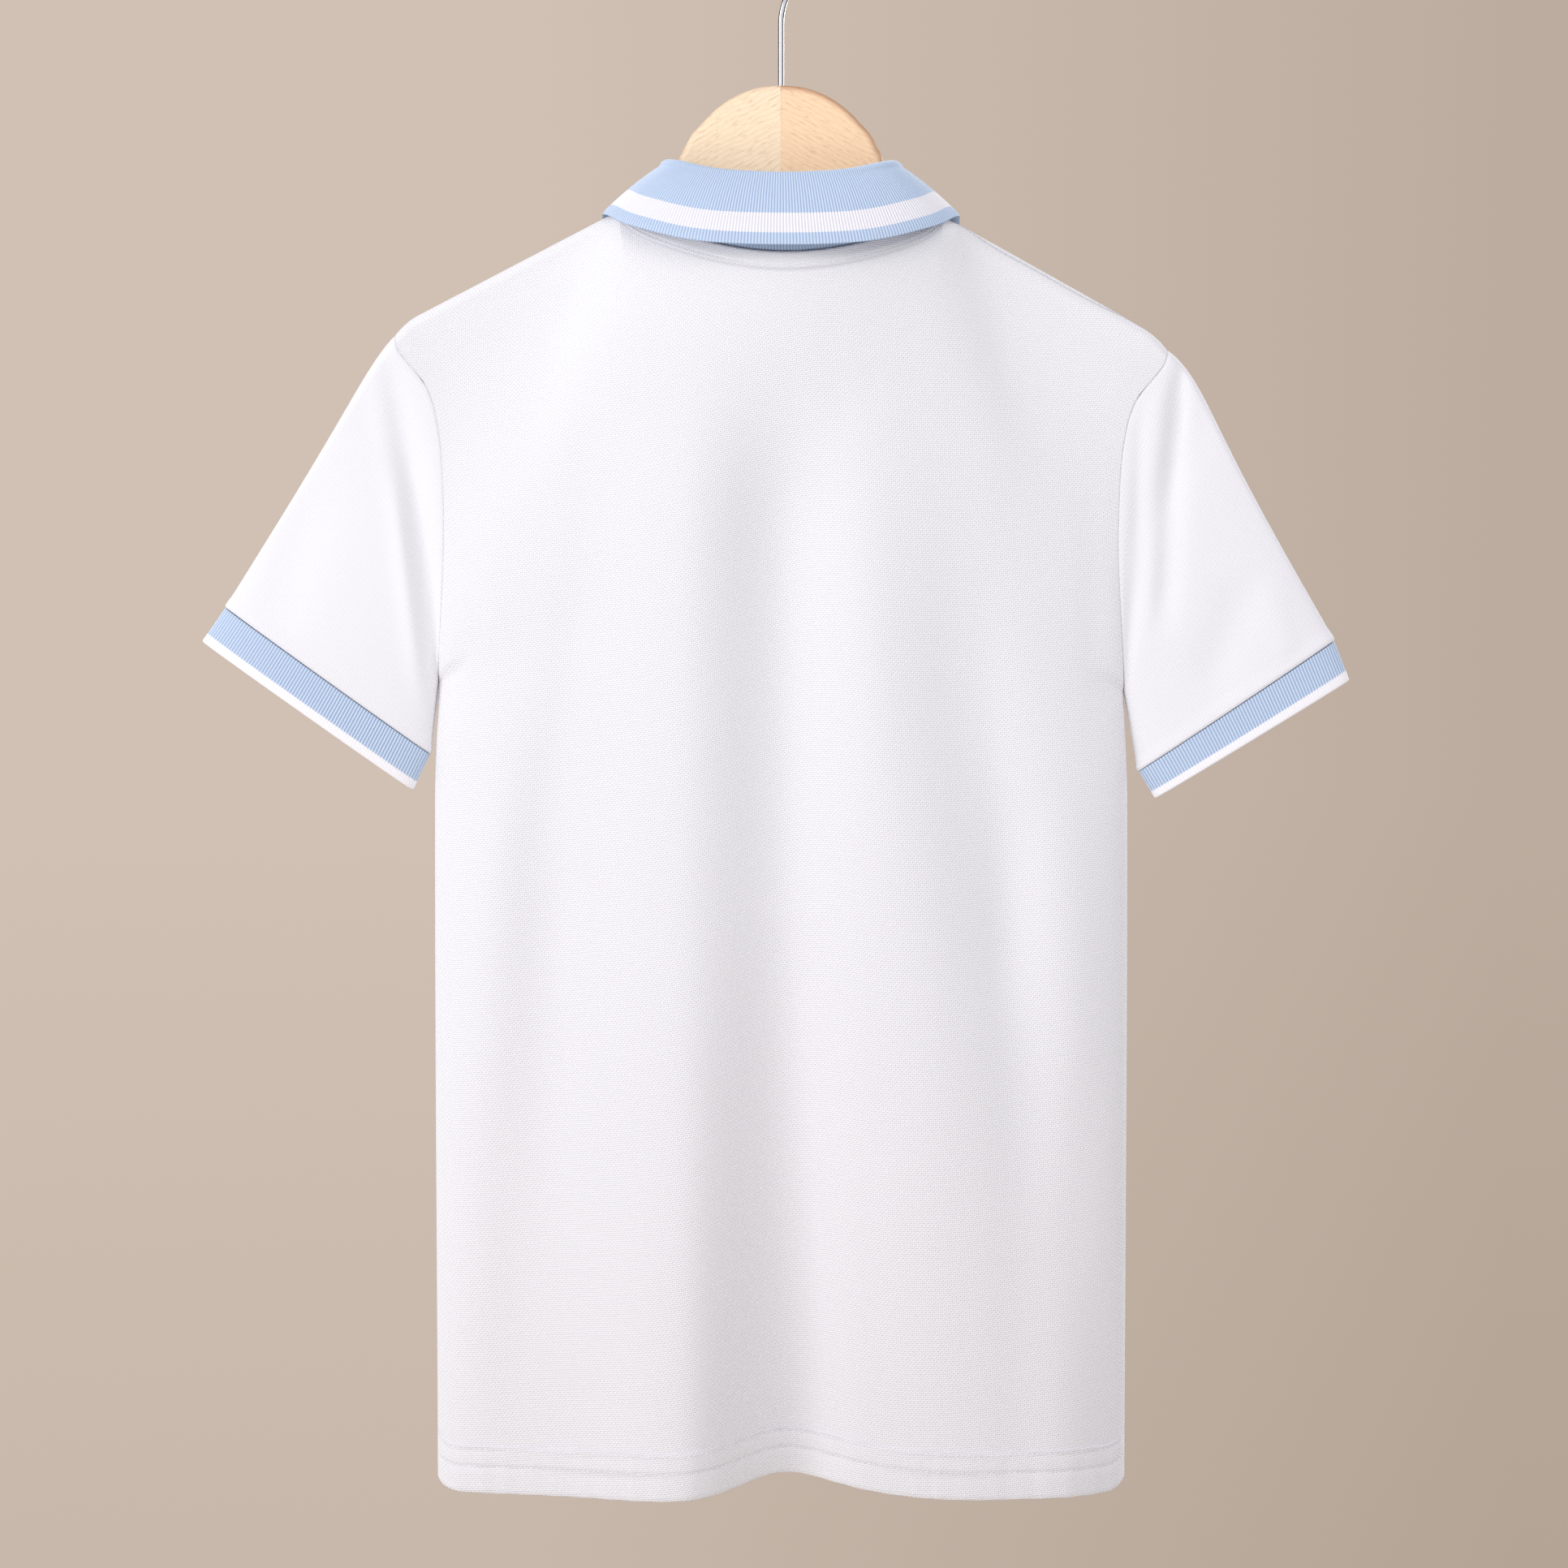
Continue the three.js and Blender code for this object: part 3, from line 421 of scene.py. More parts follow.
def ridge_height(x):
    """Height of the cloth's top line over the hanger's arm."""
    past = np.maximum(0, np.abs(x) - ROUND_FROM) / (SHOULDER_X - ROUND_FROM)
    fall = SHOULDER_FALL * (np.abs(x) - NECK_HALF)
    return CORNER_HEIGHT - fall - ROUND_DROP * past**2 + ASKEW * x


def neck_place(face, x):
    """Depth and height of the neck's edge."""
    inside = np.maximum(0, 1 - (x / NECK_HALF) ** 2)
    depth = NECK_DEPTH[face] * np.sqrt(inside)
    return depth, CORNER_HEIGHT + ASKEW * x - NECK_DROP[face] * inside


def top_place(face, x):
    depth, height = neck_place(face, x)
    inside = np.abs(x) < NECK_HALF
    return np.where(inside, depth, 0), np.where(inside, height, ridge_height(x))


def hem_height(x):
    aside = (np.abs(x) - HEM_CORNER_FROM) / (SHOULDER_X - HEM_CORNER_FROM)
    corner = HEM_CORNER_RISE * np.clip(aside, 0, 1) ** 2
    return HEM_HEIGHT + corner + HEM_RISE * np.exp(-(((x - HEM_RISE_AT) / HEM_RISE_WIDTH) ** 2))


def whole_travel(face, top_x):
    """Length of cloth from the top line to the hem."""
    return top_place(face, top_x)[1] - hem_height(top_x) + WRAP_LOSS


def level_of_travel(travel):
    """Level of a place that lies so far down the side's cloth, in millimetres."""
    return (travel - WRAP_TRAVEL) / (SIDE_TRAVEL - WRAP_TRAVEL)


UNDER_ARM_LEVEL = level_of_travel(ARMHOLE_TRAVEL)


def fold_rise(face, x, height):
    """How far the hanging folds stand out of a panel."""
    total = np.zeros_like(x)
    fallen = (CORNER_HEIGHT - height) / (CORNER_HEIGHT - HEM_HEIGHT)
    lower = np.clip((FOLD_MIDDLE - height) / (FOLD_MIDDLE - HEM_HEIGHT), 0, 1)
    for fold in FOLDS[face]:
        centre = mix(fold["top_x"], fold["hem_x"], fallen)
        grown = ease((fold["start"] - height) / FOLD_GROWTH)
        rise = grown * mix(fold["mid_rise"], fold["hem_rise"], lower)
        total += rise * np.exp(-(((x - centre) / fold["width"]) ** 2))
    return total


def edge_depth(side_travel):
    """Half the opening between back and front at the armhole, closed below the under arm."""
    along = side_travel / ARMHOLE_TRAVEL
    open_part = np.sqrt(np.maximum(0, 1 - along**4))
    return np.maximum(SEAM_GAP / 2, (ARMHOLE_HALF_TOP + ARMHOLE_HALF_GAIN * along) * open_part)


def panel_point(face, top_x, level):
    """Points of a panel.

    Level runs from -1 at the ridge to 0 below the hanger's arm and 1 at the hem. A level under
    -1 is on the other side of the ridge, where the front's yoke reaches over it.
    """
    top_x, level = np.broadcast_arrays(np.asarray(top_x, float), np.asarray(level, float))
    over_ridge = level < -1
    level = np.where(over_ridge, -2 - level, level)
    outside = np.abs(top_x) >= NECK_HALF
    start = np.where(outside, SEAM_GAP / 2, 0)
    whole = whole_travel(face, top_x)
    travel = np.where(level < 0, mix(WRAP_TRAVEL, start, -level), mix(WRAP_TRAVEL, whole, level))
    side_travel = np.where(
        level < 0, WRAP_TRAVEL * (1 + level), mix(WRAP_TRAVEL, SIDE_TRAVEL, level)
    )
    half_width = table_value(SIDE_OUTLINE, "travel", "half_width", side_travel)
    drawn_in = (SHOULDER_X - half_width) * (top_x / SHOULDER_X) ** 2
    x = top_x - np.sign(top_x) * drawn_in
    top_depth, top_height = top_place(face, top_x)
    turn = np.clip((travel - WRAP_FLAT) / WRAP_RADIUS, 0, math.pi / 2)
    straight = np.maximum(0, travel - WRAP_FLAT - WRAP_RADIUS * math.pi / 2)
    out = np.minimum(travel, WRAP_FLAT) + WRAP_RADIUS * np.sin(turn)
    down = WRAP_RADIUS * (1 - np.cos(turn)) + straight
    upright = ease(top_depth / UPRIGHT_DEPTH)
    fallen = mix(down, travel, upright) / mix(whole - WRAP_LOSS, whole, upright)
    height = mix(top_height, hem_height(top_x), fallen)
    spread = NECK_HALF + NECK_SPREAD * np.maximum(0, travel - start)
    inside = 1 - (top_x / spread) ** 2
    softness = NECK_SOFTNESS * ease((travel - start) / NECK_SOFT_OVER)
    inside = (inside + np.sqrt(inside**2 + softness**2)) / 2
    near_top = np.hypot(NECK_DEPTH[face] * np.sqrt(inside), out)
    across = np.clip(np.abs(x) / half_width, 0, 1)
    past = side_travel - ARMHOLE_TRAVEL * FULLNESS_FROM
    below = ease(past / (ARMHOLE_TRAVEL * FULLNESS_OVER))
    lens = (1 - across ** mix(*FULLNESS_ACROSS, below)) ** mix(*FULLNESS_POWER, below)
    edge = edge_depth(side_travel)
    middle = table_value(MIDDLE_DEPTH[face], "height", "depth", height) + fold_rise(face, x, height)
    body = edge + lens * (middle - edge)
    blend = ease(travel / BODY_REACH)
    depth = mix(near_top, body, blend)
    depth = depth + lens * blend * crease_rise(CREASES[face], x, height)
    y = OUTWARD[face] * depth
    return np.stack([x, np.where(over_ridge, -y, y), height], axis=-1)


def panel_normal(face, top_x, level):
    """Directions out of the cloth; at the side they lie along the seam, so edges meet squarely."""
    top_x, level = np.broadcast_arrays(np.asarray(top_x, float), np.asarray(level, float))
    step_x, step_level = 0.5, 0.004
    right = panel_point(face, np.maximum(top_x - step_x, -SHOULDER_X), level)
    left = panel_point(face, np.minimum(top_x + step_x, SHOULDER_X), level)
    upper = panel_point(face, top_x, np.maximum(level - step_level, -1.6))
    lower = panel_point(face, top_x, np.minimum(level + step_level, 1))
    normal = np.cross(left - right, lower - upper) * OUTWARD[face]
    at_side = np.abs(top_x) >= SHOULDER_X - 1e-6
    normal[..., 0] = np.where(at_side, 0, normal[..., 0])
    normal[..., 2] = np.where(level >= 1, 0, normal[..., 2])
    normal = unit(normal)
    beside = at_side & (level >= UNDER_ARM_LEVEL - 1e-6)
    still = np.zeros_like(top_x)
    sideways = np.stack([np.sign(top_x), still, still], axis=-1)
    return np.where(beside[..., None], sideways, normal)


def off_panel(face, top_x, level, out):
    point = panel_point(face, top_x, level)
    return point + panel_normal(face, top_x, level) * np.asarray(out, float)[..., None]


# Meshes


def place_object(name, data):
    """A new object in the scene that shows the given data."""
    made = bpy.data.objects.new(name, data)
    bpy.context.scene.collection.objects.link(made)
    return made


def new_mesh(name, points, faces, material, uv=None, uv_shift=None, **attributes):
    """An object whose place is in its mesh, from points in millimetres."""
    mesh = bpy.data.meshes.new(name)
    corners = [list(map(int, face)) for face in faces]
    mesh.from_pydata((np.asarray(points) * MM).tolist(), [], corners)
    mesh.validate(verbose=False)
    mesh.update()
    loops = np.zeros(len(mesh.loops), np.int64)
    mesh.loops.foreach_get("vertex_index", loops)
    if uv is not None:
        places = np.array(uv)[loops]
        if uv_shift is not None:
            places[: len(uv_shift), 0] += uv_shift
        layer = mesh.uv_layers.new(name="cloth")
        layer.data.foreach_set("uv", (places * MM).astype(np.float32).ravel())
    for label, values in attributes.items():
        if values is not None:
            attribute = mesh.attributes.new(label, "FLOAT", "POINT")
            attribute.data.foreach_set("value", np.asarray(values, np.float32).ravel())
    mesh.polygons.foreach_set("use_smooth", np.full(len(mesh.polygons), True))
    mesh.materials.append(material)
    turn_outward(mesh)
    return place_object(name, mesh)


def turn_outward(mesh):
    """Turns a closed mesh so that its faces point out."""
    work = bmesh.new()
    work.from_mesh(mesh)
    if work.calc_volume(signed=True) < 0:
        bmesh.ops.reverse_faces(work, faces=work.faces)
    work.to_mesh(mesh)
    work.free()


def grid_faces(row_count, column_count, round_rows=False, round_columns=False, start=0, flip=False):
    """Faces between the points of a grid, which may close on itself either way."""
    r = np.arange(row_count if round_rows else row_count - 1)
    c = np.arange(column_count if round_columns else column_count - 1)
    r, c = np.meshgrid(r, c, indexing="ij")
    below, beside = (r + 1) % row_count, (c + 1) % column_count
    corners = [(r, c), (below, c), (below, beside), (r, beside)]
    if flip:
        corners.reverse()
    index = [start + a * column_count + b for a, b in corners]
    return np.stack(index, axis=-1)


def capped_faces(ring_count, ring_size, start=0):
    """Faces of a closed bar: rings that follow each other, and a cap at each end."""
    faces = (grid_faces(ring_count, ring_size, round_columns=True).reshape(-1, 4) + start).tolist()
    last = start + (ring_count - 1) * ring_size
    faces.append([start + i for i in range(ring_size)])
    faces.append([last + i for i in reversed(range(ring_size))])
    return faces


def shell_faces(kept):
    """Faces of a wall between an outer and an inner grid. kept says which cells are cloth."""
    cell_rows, cell_columns = kept.shape
    row_count, column_count = cell_rows + 1, cell_columns + 1
    inner = row_count * column_count
    outer_faces = grid_faces(row_count, column_count)
    inner_faces = grid_faces(row_count, column_count, start=inner, flip=True)
    faces = [outer_faces[kept], inner_faces[kept]]
    padded = np.zeros((cell_rows + 2, cell_columns + 2), bool)
    padded[1:-1, 1:-1] = kept
    sides = [
        (padded[:-2, 1:-1], 3, 0),
        (padded[2:, 1:-1], 1, 2),
        (padded[1:-1, :-2], 0, 1),
        (padded[1:-1, 2:], 2, 3),
    ]
    for neighbour, a, b in sides:
        edge = kept & ~neighbour
        first, second = outer_faces[edge][:, a], outer_faces[edge][:, b]
        faces.append(np.stack([second, first, first + inner, second + inner], axis=-1))
    return np.concatenate(faces)


def cloth_shell(name, outer, inner, material, uv, shade=None, kept=None):
    """A closed wall of cloth from two grids, with its pattern in uv and the shade of its seams."""
    row_count, column_count = outer.shape[:2]
    if kept is None:
        kept = np.ones((row_count - 1, column_count - 1), bool)
    points = np.concatenate([outer.reshape(-1, 3), inner.reshape(-1, 3)])
    both = np.concatenate([uv.reshape(-1, 2), uv.reshape(-1, 2)])
    faces = shell_faces(kept)
    used = np.unique(faces)
    place = np.full(len(points), -1)
    place[used] = np.arange(len(used))
    if shade is not None:
        shade = np.concatenate([shade.ravel(), shade.ravel()])[used]
    return new_mesh(name, points[used], place[faces], material, uv=both[used], shade=shade)


def ring_shell(name, points, material, uv, around=True, **attributes):
    """A closed wall from rings, each a whole section, that go all round or end in caps."""
    ring_count, ring_size = points.shape[:2]
    shift = None
    if around:
        faces = grid_faces(ring_count, ring_size, round_rows=True, round_columns=True)
        whole = uv[:, -1, 0] + np.linalg.norm(points[:, -1] - points[:, 0], axis=-1)
        shift = np.zeros(faces.shape)
        shift[:, -1, 2] = np.roll(whole, -1)
        shift[:, -1, 3] = whole
        faces, shift = faces.reshape(-1, 4), shift.ravel()
    else:
        faces = capped_faces(ring_count, ring_size)
    points, uv = points.reshape(-1, 3), uv.reshape(-1, 2)
    return new_mesh(name, points, faces, material, uv, shift, **attributes)


# Shader node groups


def new_group(name, inputs, outputs):
    """A shader node group with its named inputs and outputs made."""
    group = bpy.data.node_groups.new(name, "ShaderNodeTree")
    for label, kind, value in inputs:
        socket = group.interface.new_socket(label, in_out="INPUT", socket_type=kind)
        if value is not None:
            socket.default_value = value
    for label, kind in outputs:
        group.interface.new_socket(label, in_out="OUTPUT", socket_type=kind)
    entry = group.nodes.new("NodeGroupInput")
    exit_node = group.nodes.new("NodeGroupOutput")
    return group, entry.outputs, exit_node.inputs


class Tree:
    """Short names for adding and joining nodes in one tree."""

    def __init__(self, tree):
        self.tree = tree

    def node(self, kind, inputs=None, **settings):
        made = self.tree.nodes.new(kind)
        for name, value in settings.items():
            setattr(made, name, value)
        for name, value in (inputs or {}).items():
            self.put(made.inputs[name], value)
        return made

    def put(self, socket, value):
        if isinstance(value, bpy.types.NodeSocket):
            self.tree.links.new(value, socket)
        else:
            socket.default_value = value

    def math(self, operation, *values, clamp=False):
        made = self.tree.nodes.new("ShaderNodeMath")
        made.operation = operation
        made.use_clamp = clamp
        for socket, value in zip(made.inputs, values):
            self.put(socket, value)
        return made.outputs[0]

    def blend(self, amount, first, second, mode="MIX"):
        made = self.tree.nodes.new("ShaderNodeMix")
        made.data_type = "RGBA"
        made.blend_type = mode
        self.put(made.inputs[0], amount)
        self.put(made.inputs[6], first)
        self.put(made.inputs[7], second)
        return made.outputs[2]

    def times(self, first, second):
        return self.math("MULTIPLY", first, second)

    def noise(self, vector, scale, detail):
        given = {"Vector": vector, "Scale": scale, "Detail": detail}
        return self.node("ShaderNodeTexNoise", given).outputs

    def attribute(self, name):
        return self.node("ShaderNodeAttribute", attribute_name=name).outputs["Fac"]

    def object_place(self, **mapping):
        """The place on the object, turned or stretched where a mapping is given."""
        where = self.node("ShaderNodeTexCoord").outputs["Object"]
        if not mapping:
            return where
        return self.node("ShaderNodeMapping", {"Vector": where, **mapping}).outputs[0]


def weave_group():
    """Piqué knit: small raised cells in two crossing diagonals, uneven as spun yarn is."""
    group, given, result = new_group(
        "pique_weave",
        [
            ("Vector", "NodeSocketVector", None),
            ("Cell", "NodeSocketFloat", WEAVE_CELL * MM),
            ("Rows", "NodeSocketFloat", 0.2),
            ("Unevenness", "NodeSocketFloat", 0.35),
        ],
        [("Height", "NodeSocketFloat"), ("Shade", "NodeSocketFloat")],
    )
    t = Tree(group)
    wander = t.noise(given["Vector"], 240.0, 2.0)
    moved = t.node("ShaderNodeVectorMath", operation="SCALE")
    t.put(moved.inputs[0], wander["Color"])
    moved.inputs["Scale"].default_value = 0.00035
    placed = t.node("ShaderNodeVectorMath", operation="ADD")
    t.put(placed.inputs[0], given["Vector"])
    t.put(placed.inputs[1], moved.outputs[0])
    parts = t.node("ShaderNodeSeparateXYZ", {"Vector": placed.outputs[0]})
    turns = t.math("DIVIDE", 2 * math.pi, given["Cell"])
    across = t.times(parts.outputs["X"], turns)
    up = t.times(parts.outputs["Y"], turns)
    rising = t.math("COSINE", t.times(t.math("ADD", across, up), 0.5))
    falling = t.math("COSINE", t.times(t.math("SUBTRACT", across, up), 0.5))
    cells = t.math("MULTIPLY_ADD", t.times(rising, falling), 0.5, 0.5)
    knit_rows = t.times(t.math("COSINE", up), given["Rows"])
    diagonal = t.math("ADD", t.times(rising, 0.2), knit_rows)
    knit = t.math("ADD", cells, diagonal)
    yarn = t.noise(given["Vector"], 1900.0, 3.0)
    fuzz = t.times(t.math("SUBTRACT", yarn["Fac"], 0.5), given["Unevenness"])
    t.put(result["Height"], t.math("ADD", knit, fuzz))
    # Shade is painted shade: lighter on the raised cells, darker in the hollows between them
    t.put(result["Shade"], t.math("MULTIPLY_ADD", knit, 0.75, 0.15, clamp=True))
    return group


def yarn_group():
    """Flat-knit rib: rows of loops across each rib, with fine uneven fibre."""
    group, given, result = new_group(
        "rib_yarn",
        [("Vector", "NodeSocketVector", None), ("Loop", "NodeSocketFloat", 0.8 * MM)],
        [("Height", "NodeSocketFloat"), ("Shade", "NodeSocketFloat")],
    )
    t = Tree(group)
    parts = t.node("ShaderNodeSeparateXYZ", {"Vector": given["Vector"]})
    loop_turn = t.math("DIVIDE", 2 * math.pi, given["Loop"])
    slant = t.times(t.math("COSINE", t.times(parts.outputs["X"], loop_turn)), 0.8)
    loops = t.math("SINE", t.math("ADD", t.times(parts.outputs["Y"], loop_turn), slant))
    fuzz = t.math("SUBTRACT", t.noise(given["Vector"], 1700.0, 3.0)["Fac"], 0.5)
    height = t.math("ADD", t.math("MULTIPLY_ADD", loops, 0.3, 0.5), t.times(fuzz, 0.5))
    t.put(result["Height"], height)
    t.put(result["Shade"], t.math("MULTIPLY_ADD", fuzz, 0.5, 0.5))
    return group


def grain_group():
    """Beech: long fine grain lines with short darker flecks."""
    group, given, result = new_group(
        "beech_grain",
        [("Vector", "NodeSocketVector", None)],
        [(label, "NodeSocketFloat") for label in ("Lines", "Flecks", "Height")],
    )
    t = Tree(group)
    where = given["Vector"]
    bend = t.noise(where, 14.0, 2.0)
    wave = t.node("ShaderNodeTexWave", {"Vector": where, "Scale": 120.0, "Distortion": 7.0})
    wave.inputs["Detail"].default_value = 3.0
    wave.inputs["Detail Scale"].default_value = 0.6
    stretched = t.node("ShaderNodeMapping", {"Vector": where, "Scale": (1300.0, 170.0, 170.0)})
    flecks = t.noise(stretched.outputs[0], 1.0, 1.0)
    sharp = t.math("MULTIPLY", t.math("SUBTRACT", flecks["Fac"], 0.56), 7.0, clamp=True)
    lines = t.math("ADD", t.times(wave.outputs["Fac"], 0.6), t.times(bend["Fac"], 0.4))
    t.put(result["Lines"], lines)
    t.put(result["Flecks"], sharp)
    t.put(result["Height"], t.math("SUBTRACT", t.times(lines, 0.4), sharp))
    return group


WEAVE = weave_group()
YARN = yarn_group()
GRAIN = grain_group()


def new_material(name, **values):
    """A material with its Principled shader and plain values set on it."""
    material = bpy.data.materials.new(name)
    material.use_nodes = True
    shader = material.node_tree.nodes["Principled BSDF"]
    for label, value in values.items():
        shader.inputs[label.replace("_", " ")].default_value = value
    return material, Tree(material.node_tree), shader


def add_bump(t, shader, height, distance, strength=1.0):
    bump = t.node("ShaderNodeBump", {"Height": height, "Distance": distance, "Strength": strength})
    t.put(shader.inputs["Normal"], bump.outputs["Normal"])


def scaled(colour, shares):
    """A colour with each of its three parts made stronger or weaker."""
    return tuple(value * share for value, share in zip(colour[:3], shares)) + (1,)


def group_node(t, group, **inputs):
    made = t.node("ShaderNodeGroup")
    made.node_tree = group
    for name, value in inputs.items():
        t.put(made.inputs[name], value)
    return made


def cotton_material(name, turned, rows_seen=0.15, relief=0.8, yarn=BODY_YARN):
    """Piqué of white yarn, with painted shade in its hollows and along its seams."""
    material, t, shader = new_material(
        name, Roughness=0.92, Sheen_Weight=0.15, Sheen_Roughness=0.6, Specular_IOR_Level=0.25
    )
    uv = t.node("ShaderNodeUVMap", uv_map="cloth").outputs["UV"]
    turn = (0, 0, math.radians(turned))
    placed = t.node("ShaderNodeMapping", {"Vector": uv, "Rotation": turn})
    weave = group_node(t, WEAVE, Vector=placed.outputs[0], Cell=WEAVE_CELL * MM, Rows=rows_seen)
    # Painted shade in the weave's hollows
    colour = t.blend(weave.outputs["Shade"], COTTON_HOLLOW_SHADE, yarn)
    # Painted shade: the shade attribute darkens seams, band edges and stitch grooves
    t.put(shader.inputs["Base Color"], t.blend(t.attribute("shade"), colour, COTTON_SEAM_SHADE))
    add_bump(t, shader, weave.outputs["Height"], 0.00022, relief)
    return material


def rib_material(name, first_white, last_white):
    """Knit rib with a white stripe between two places in its band attribute, in millimetres."""
    material, t, shader = new_material(
        name, Roughness=0.9, Sheen_Weight=0.2, Sheen_Roughness=0.5, Specular_IOR_Level=0.25
    )
    uv = t.node("ShaderNodeUVMap", uv_map="cloth")
    yarn = group_node(t, YARN, Vector=uv.outputs["UV"])
    band = t.attribute("band")
    softness = 3.0
    rises = t.math("MULTIPLY", t.math("SUBTRACT", band, first_white), softness, clamp=True)
    falls = t.math("MULTIPLY", t.math("SUBTRACT", last_white, band), softness, clamp=True)
    stripe = t.times(rises, falls)
    colour = t.blend(stripe, BLUE, WHITE_RIB)
    shaded = t.blend(0.18, colour, yarn.outputs["Shade"], mode="OVERLAY")
    # Painted shade in the grooves between ribs: the relief attribute is 1 on a rib's crest
    groove = t.math("SUBTRACT", 1.0, t.attribute("relief"))
    painted_groove_shade = t.blend(stripe, scaled(BLUE, BLUE_GROOVE_SHADE_SHARES), WHITE_GROOVE_SHADE)
    t.put(shader.inputs["Base Color"], t.blend(t.times(groove, 0.95), shaded, painted_groove_shade))
    add_bump(t, shader, yarn.outputs["Height"], 0.00012, 0.6)
    return material


def wood_material(name, tint, slope, edge_shade):
    """Beech, grain on a slope as in each half of the yoke, with painted shade round its edges."""
    material, t, shader = new_material(name, Roughness=0.42, Coat_Weight=0.25, Coat_Roughness=0.3)
    placed = t.object_place(Rotation=(0, math.radians(slope), 0))
    grain = group_node(t, GRAIN, Vector=placed)
    light, dark = scaled(tint, (1.06, 1.06, 1.06)), scaled(tint, (0.97, 0.92, 0.84))
    colour = t.blend(grain.outputs["Lines"], dark, light)
    flecked = t.blend(t.times(grain.outputs["Flecks"], 0.45), colour, BEECH_FLECK)
    # Painted shade on the rounded edges, strongest where the band attribute nears 1
    edge = t.math("POWER", t.attribute("band"), 0.7)
    shaded_edges = t.blend(t.times(edge, edge_shade), flecked, BEECH_EDGE_SHADE)
    t.put(shader.inputs["Base Color"], shaded_edges)
    add_bump(t, shader, grain.outputs["Height"], 0.00012, 0.5)
    return material


def steel_material():
    material, t, shader = new_material(
        "polished_steel", Metallic=1.0, Base_Color=(0.66, 0.66, 0.68, 1)
    )
    drawn = t.noise(t.object_place(Scale=(3000, 3000, 60)), 1.0, 2.0)
    t.put(shader.inputs["Roughness"], t.math("MULTIPLY_ADD", drawn["Fac"], 0.12, 0.08))
    add_bump(t, shader, drawn["Fac"], 0.000004, 0.2)
    return material


def button_material():
    material, t, shader = new_material("button_shell", Roughness=0.25, Coat_Weight=0.4)
    cloud = t.noise(t.object_place(), 420.0, 2.0)
    colour = t.blend(cloud["Fac"], (0.80, 0.79, 0.77, 1), (0.90, 0.90, 0.89, 1))
    t.put(shader.inputs["Base Color"], colour)
    return material


def thread_material():
    material, t, shader = new_material("white_thread", Roughness=0.6, Sheen_Weight=0.3)
    given = {"Vector": t.object_place(), "Scale": 900.0, "Distortion": 1.0}
    twist = t.node("ShaderNodeTexWave", given)
    colour = t.blend(twist.outputs["Fac"], (0.78, 0.78, 0.82, 1), (0.90, 0.90, 0.92, 1))
    t.put(shader.inputs["Base Color"], colour)
    add_bump(t, shader, twist.outputs["Fac"], 0.00004, 0.5)
    return material


body_cotton = cotton_material("body_cotton", turned=4)
sleeve_cotton = cotton_material("sleeve_cotton", -8, rows_seen=0.25, relief=0.3, yarn=SLEEVE_YARN)
thread = thread_material()
steel = steel_material()
shell = button_material()


# Panels of the body


def column_places(face):
    """Column starts across a panel: even turns round the neck, then closer towards the side."""
    slot_turn = math.asin(SLOT_HALF / NECK_HALF)
    turns = np.linspace(0, math.pi / 2, 31)[1:]
    if face == "front":
        turns = np.concatenate([[slot_turn / 2], np.linspace(slot_turn, math.pi / 2, 29)])
    neck = NECK_HALF * np.sin(turns)
    outward = np.linspace(0, 1, 45)[1:]
    beyond = mix(NECK_HALF, SHOULDER_X, 1 - (1 - outward) ** 1.5)
    left = np.concatenate([neck, beyond])
    return np.concatenate([-left[::-1], [0], left])


# The shoulder seam lies 7 mm behind the ridge on the right side, and on the ridge on the left
SEAM_SHIFT = rows(
    "x shift",
    (-SHOULDER_X, 0),
    (-184, 0.5),
    (-165, 6),
    (-130, 7),
    (-107, 7),
    (-88, 1),
    (-NECK_HALF, 0),
)


def seam_level(face, top_x):
    """Level of the shoulder seam, where a panel starts."""
    shift = table_value(SEAM_SHIFT, "x", "shift", np.clip(top_x, -SHOULDER_X, -NECK_HALF))
    shift = np.where(top_x < -NECK_HALF, shift, 0)
    return -1 + shift / WRAP_TRAVEL * OUTWARD[face]


def panel_levels(face, top_x):
    """Levels of every row on every column, from the shoulder seam to the hem."""
    start = seam_level(face, top_x)
    over_arm = np.linspace(0, 1, 36)[:, None]
    wrap = mix(start[None, :], 0, over_arm)
    armhole = np.linspace(0, UNDER_ARM_LEVEL, 52)[1:]
    body = np.linspace(UNDER_ARM_LEVEL, level_of_travel(SIDE_TRAVEL - HEM_BAND - 1), 100)[1:]
    band_travels = SIDE_TRAVEL - np.array(HEM_ROWS + HEM_EDGE_ROWS)
    straight = np.concatenate([armhole, body, level_of_travel(band_travels)])
    lower = np.broadcast_to(straight[:, None], (len(straight), len(top_x)))
    return np.concatenate([wrap, lower])


def smooth_line(values, places, reach):
    """Values along a line, averaged over a soft reach on either side of each place."""
    even = np.arange(places[0], places[-1] + 1, 1.0)
    sampled = np.interp(even, places, values)
    ends = int(3 * reach) + 1
    before = sampled[0] + np.arange(-ends, 0) * (sampled[1] - sampled[0])
    after = sampled[-1] + np.arange(1, ends + 1) * (sampled[-1] - sampled[-2])
    kernel = np.exp(-((np.arange(-ends, ends + 1) / reach) ** 2) / 2)
    kernel /= kernel.sum()
    soft = np.convolve(np.concatenate([before, sampled, after]), kernel, mode="valid")
    return np.interp(places, even, soft)


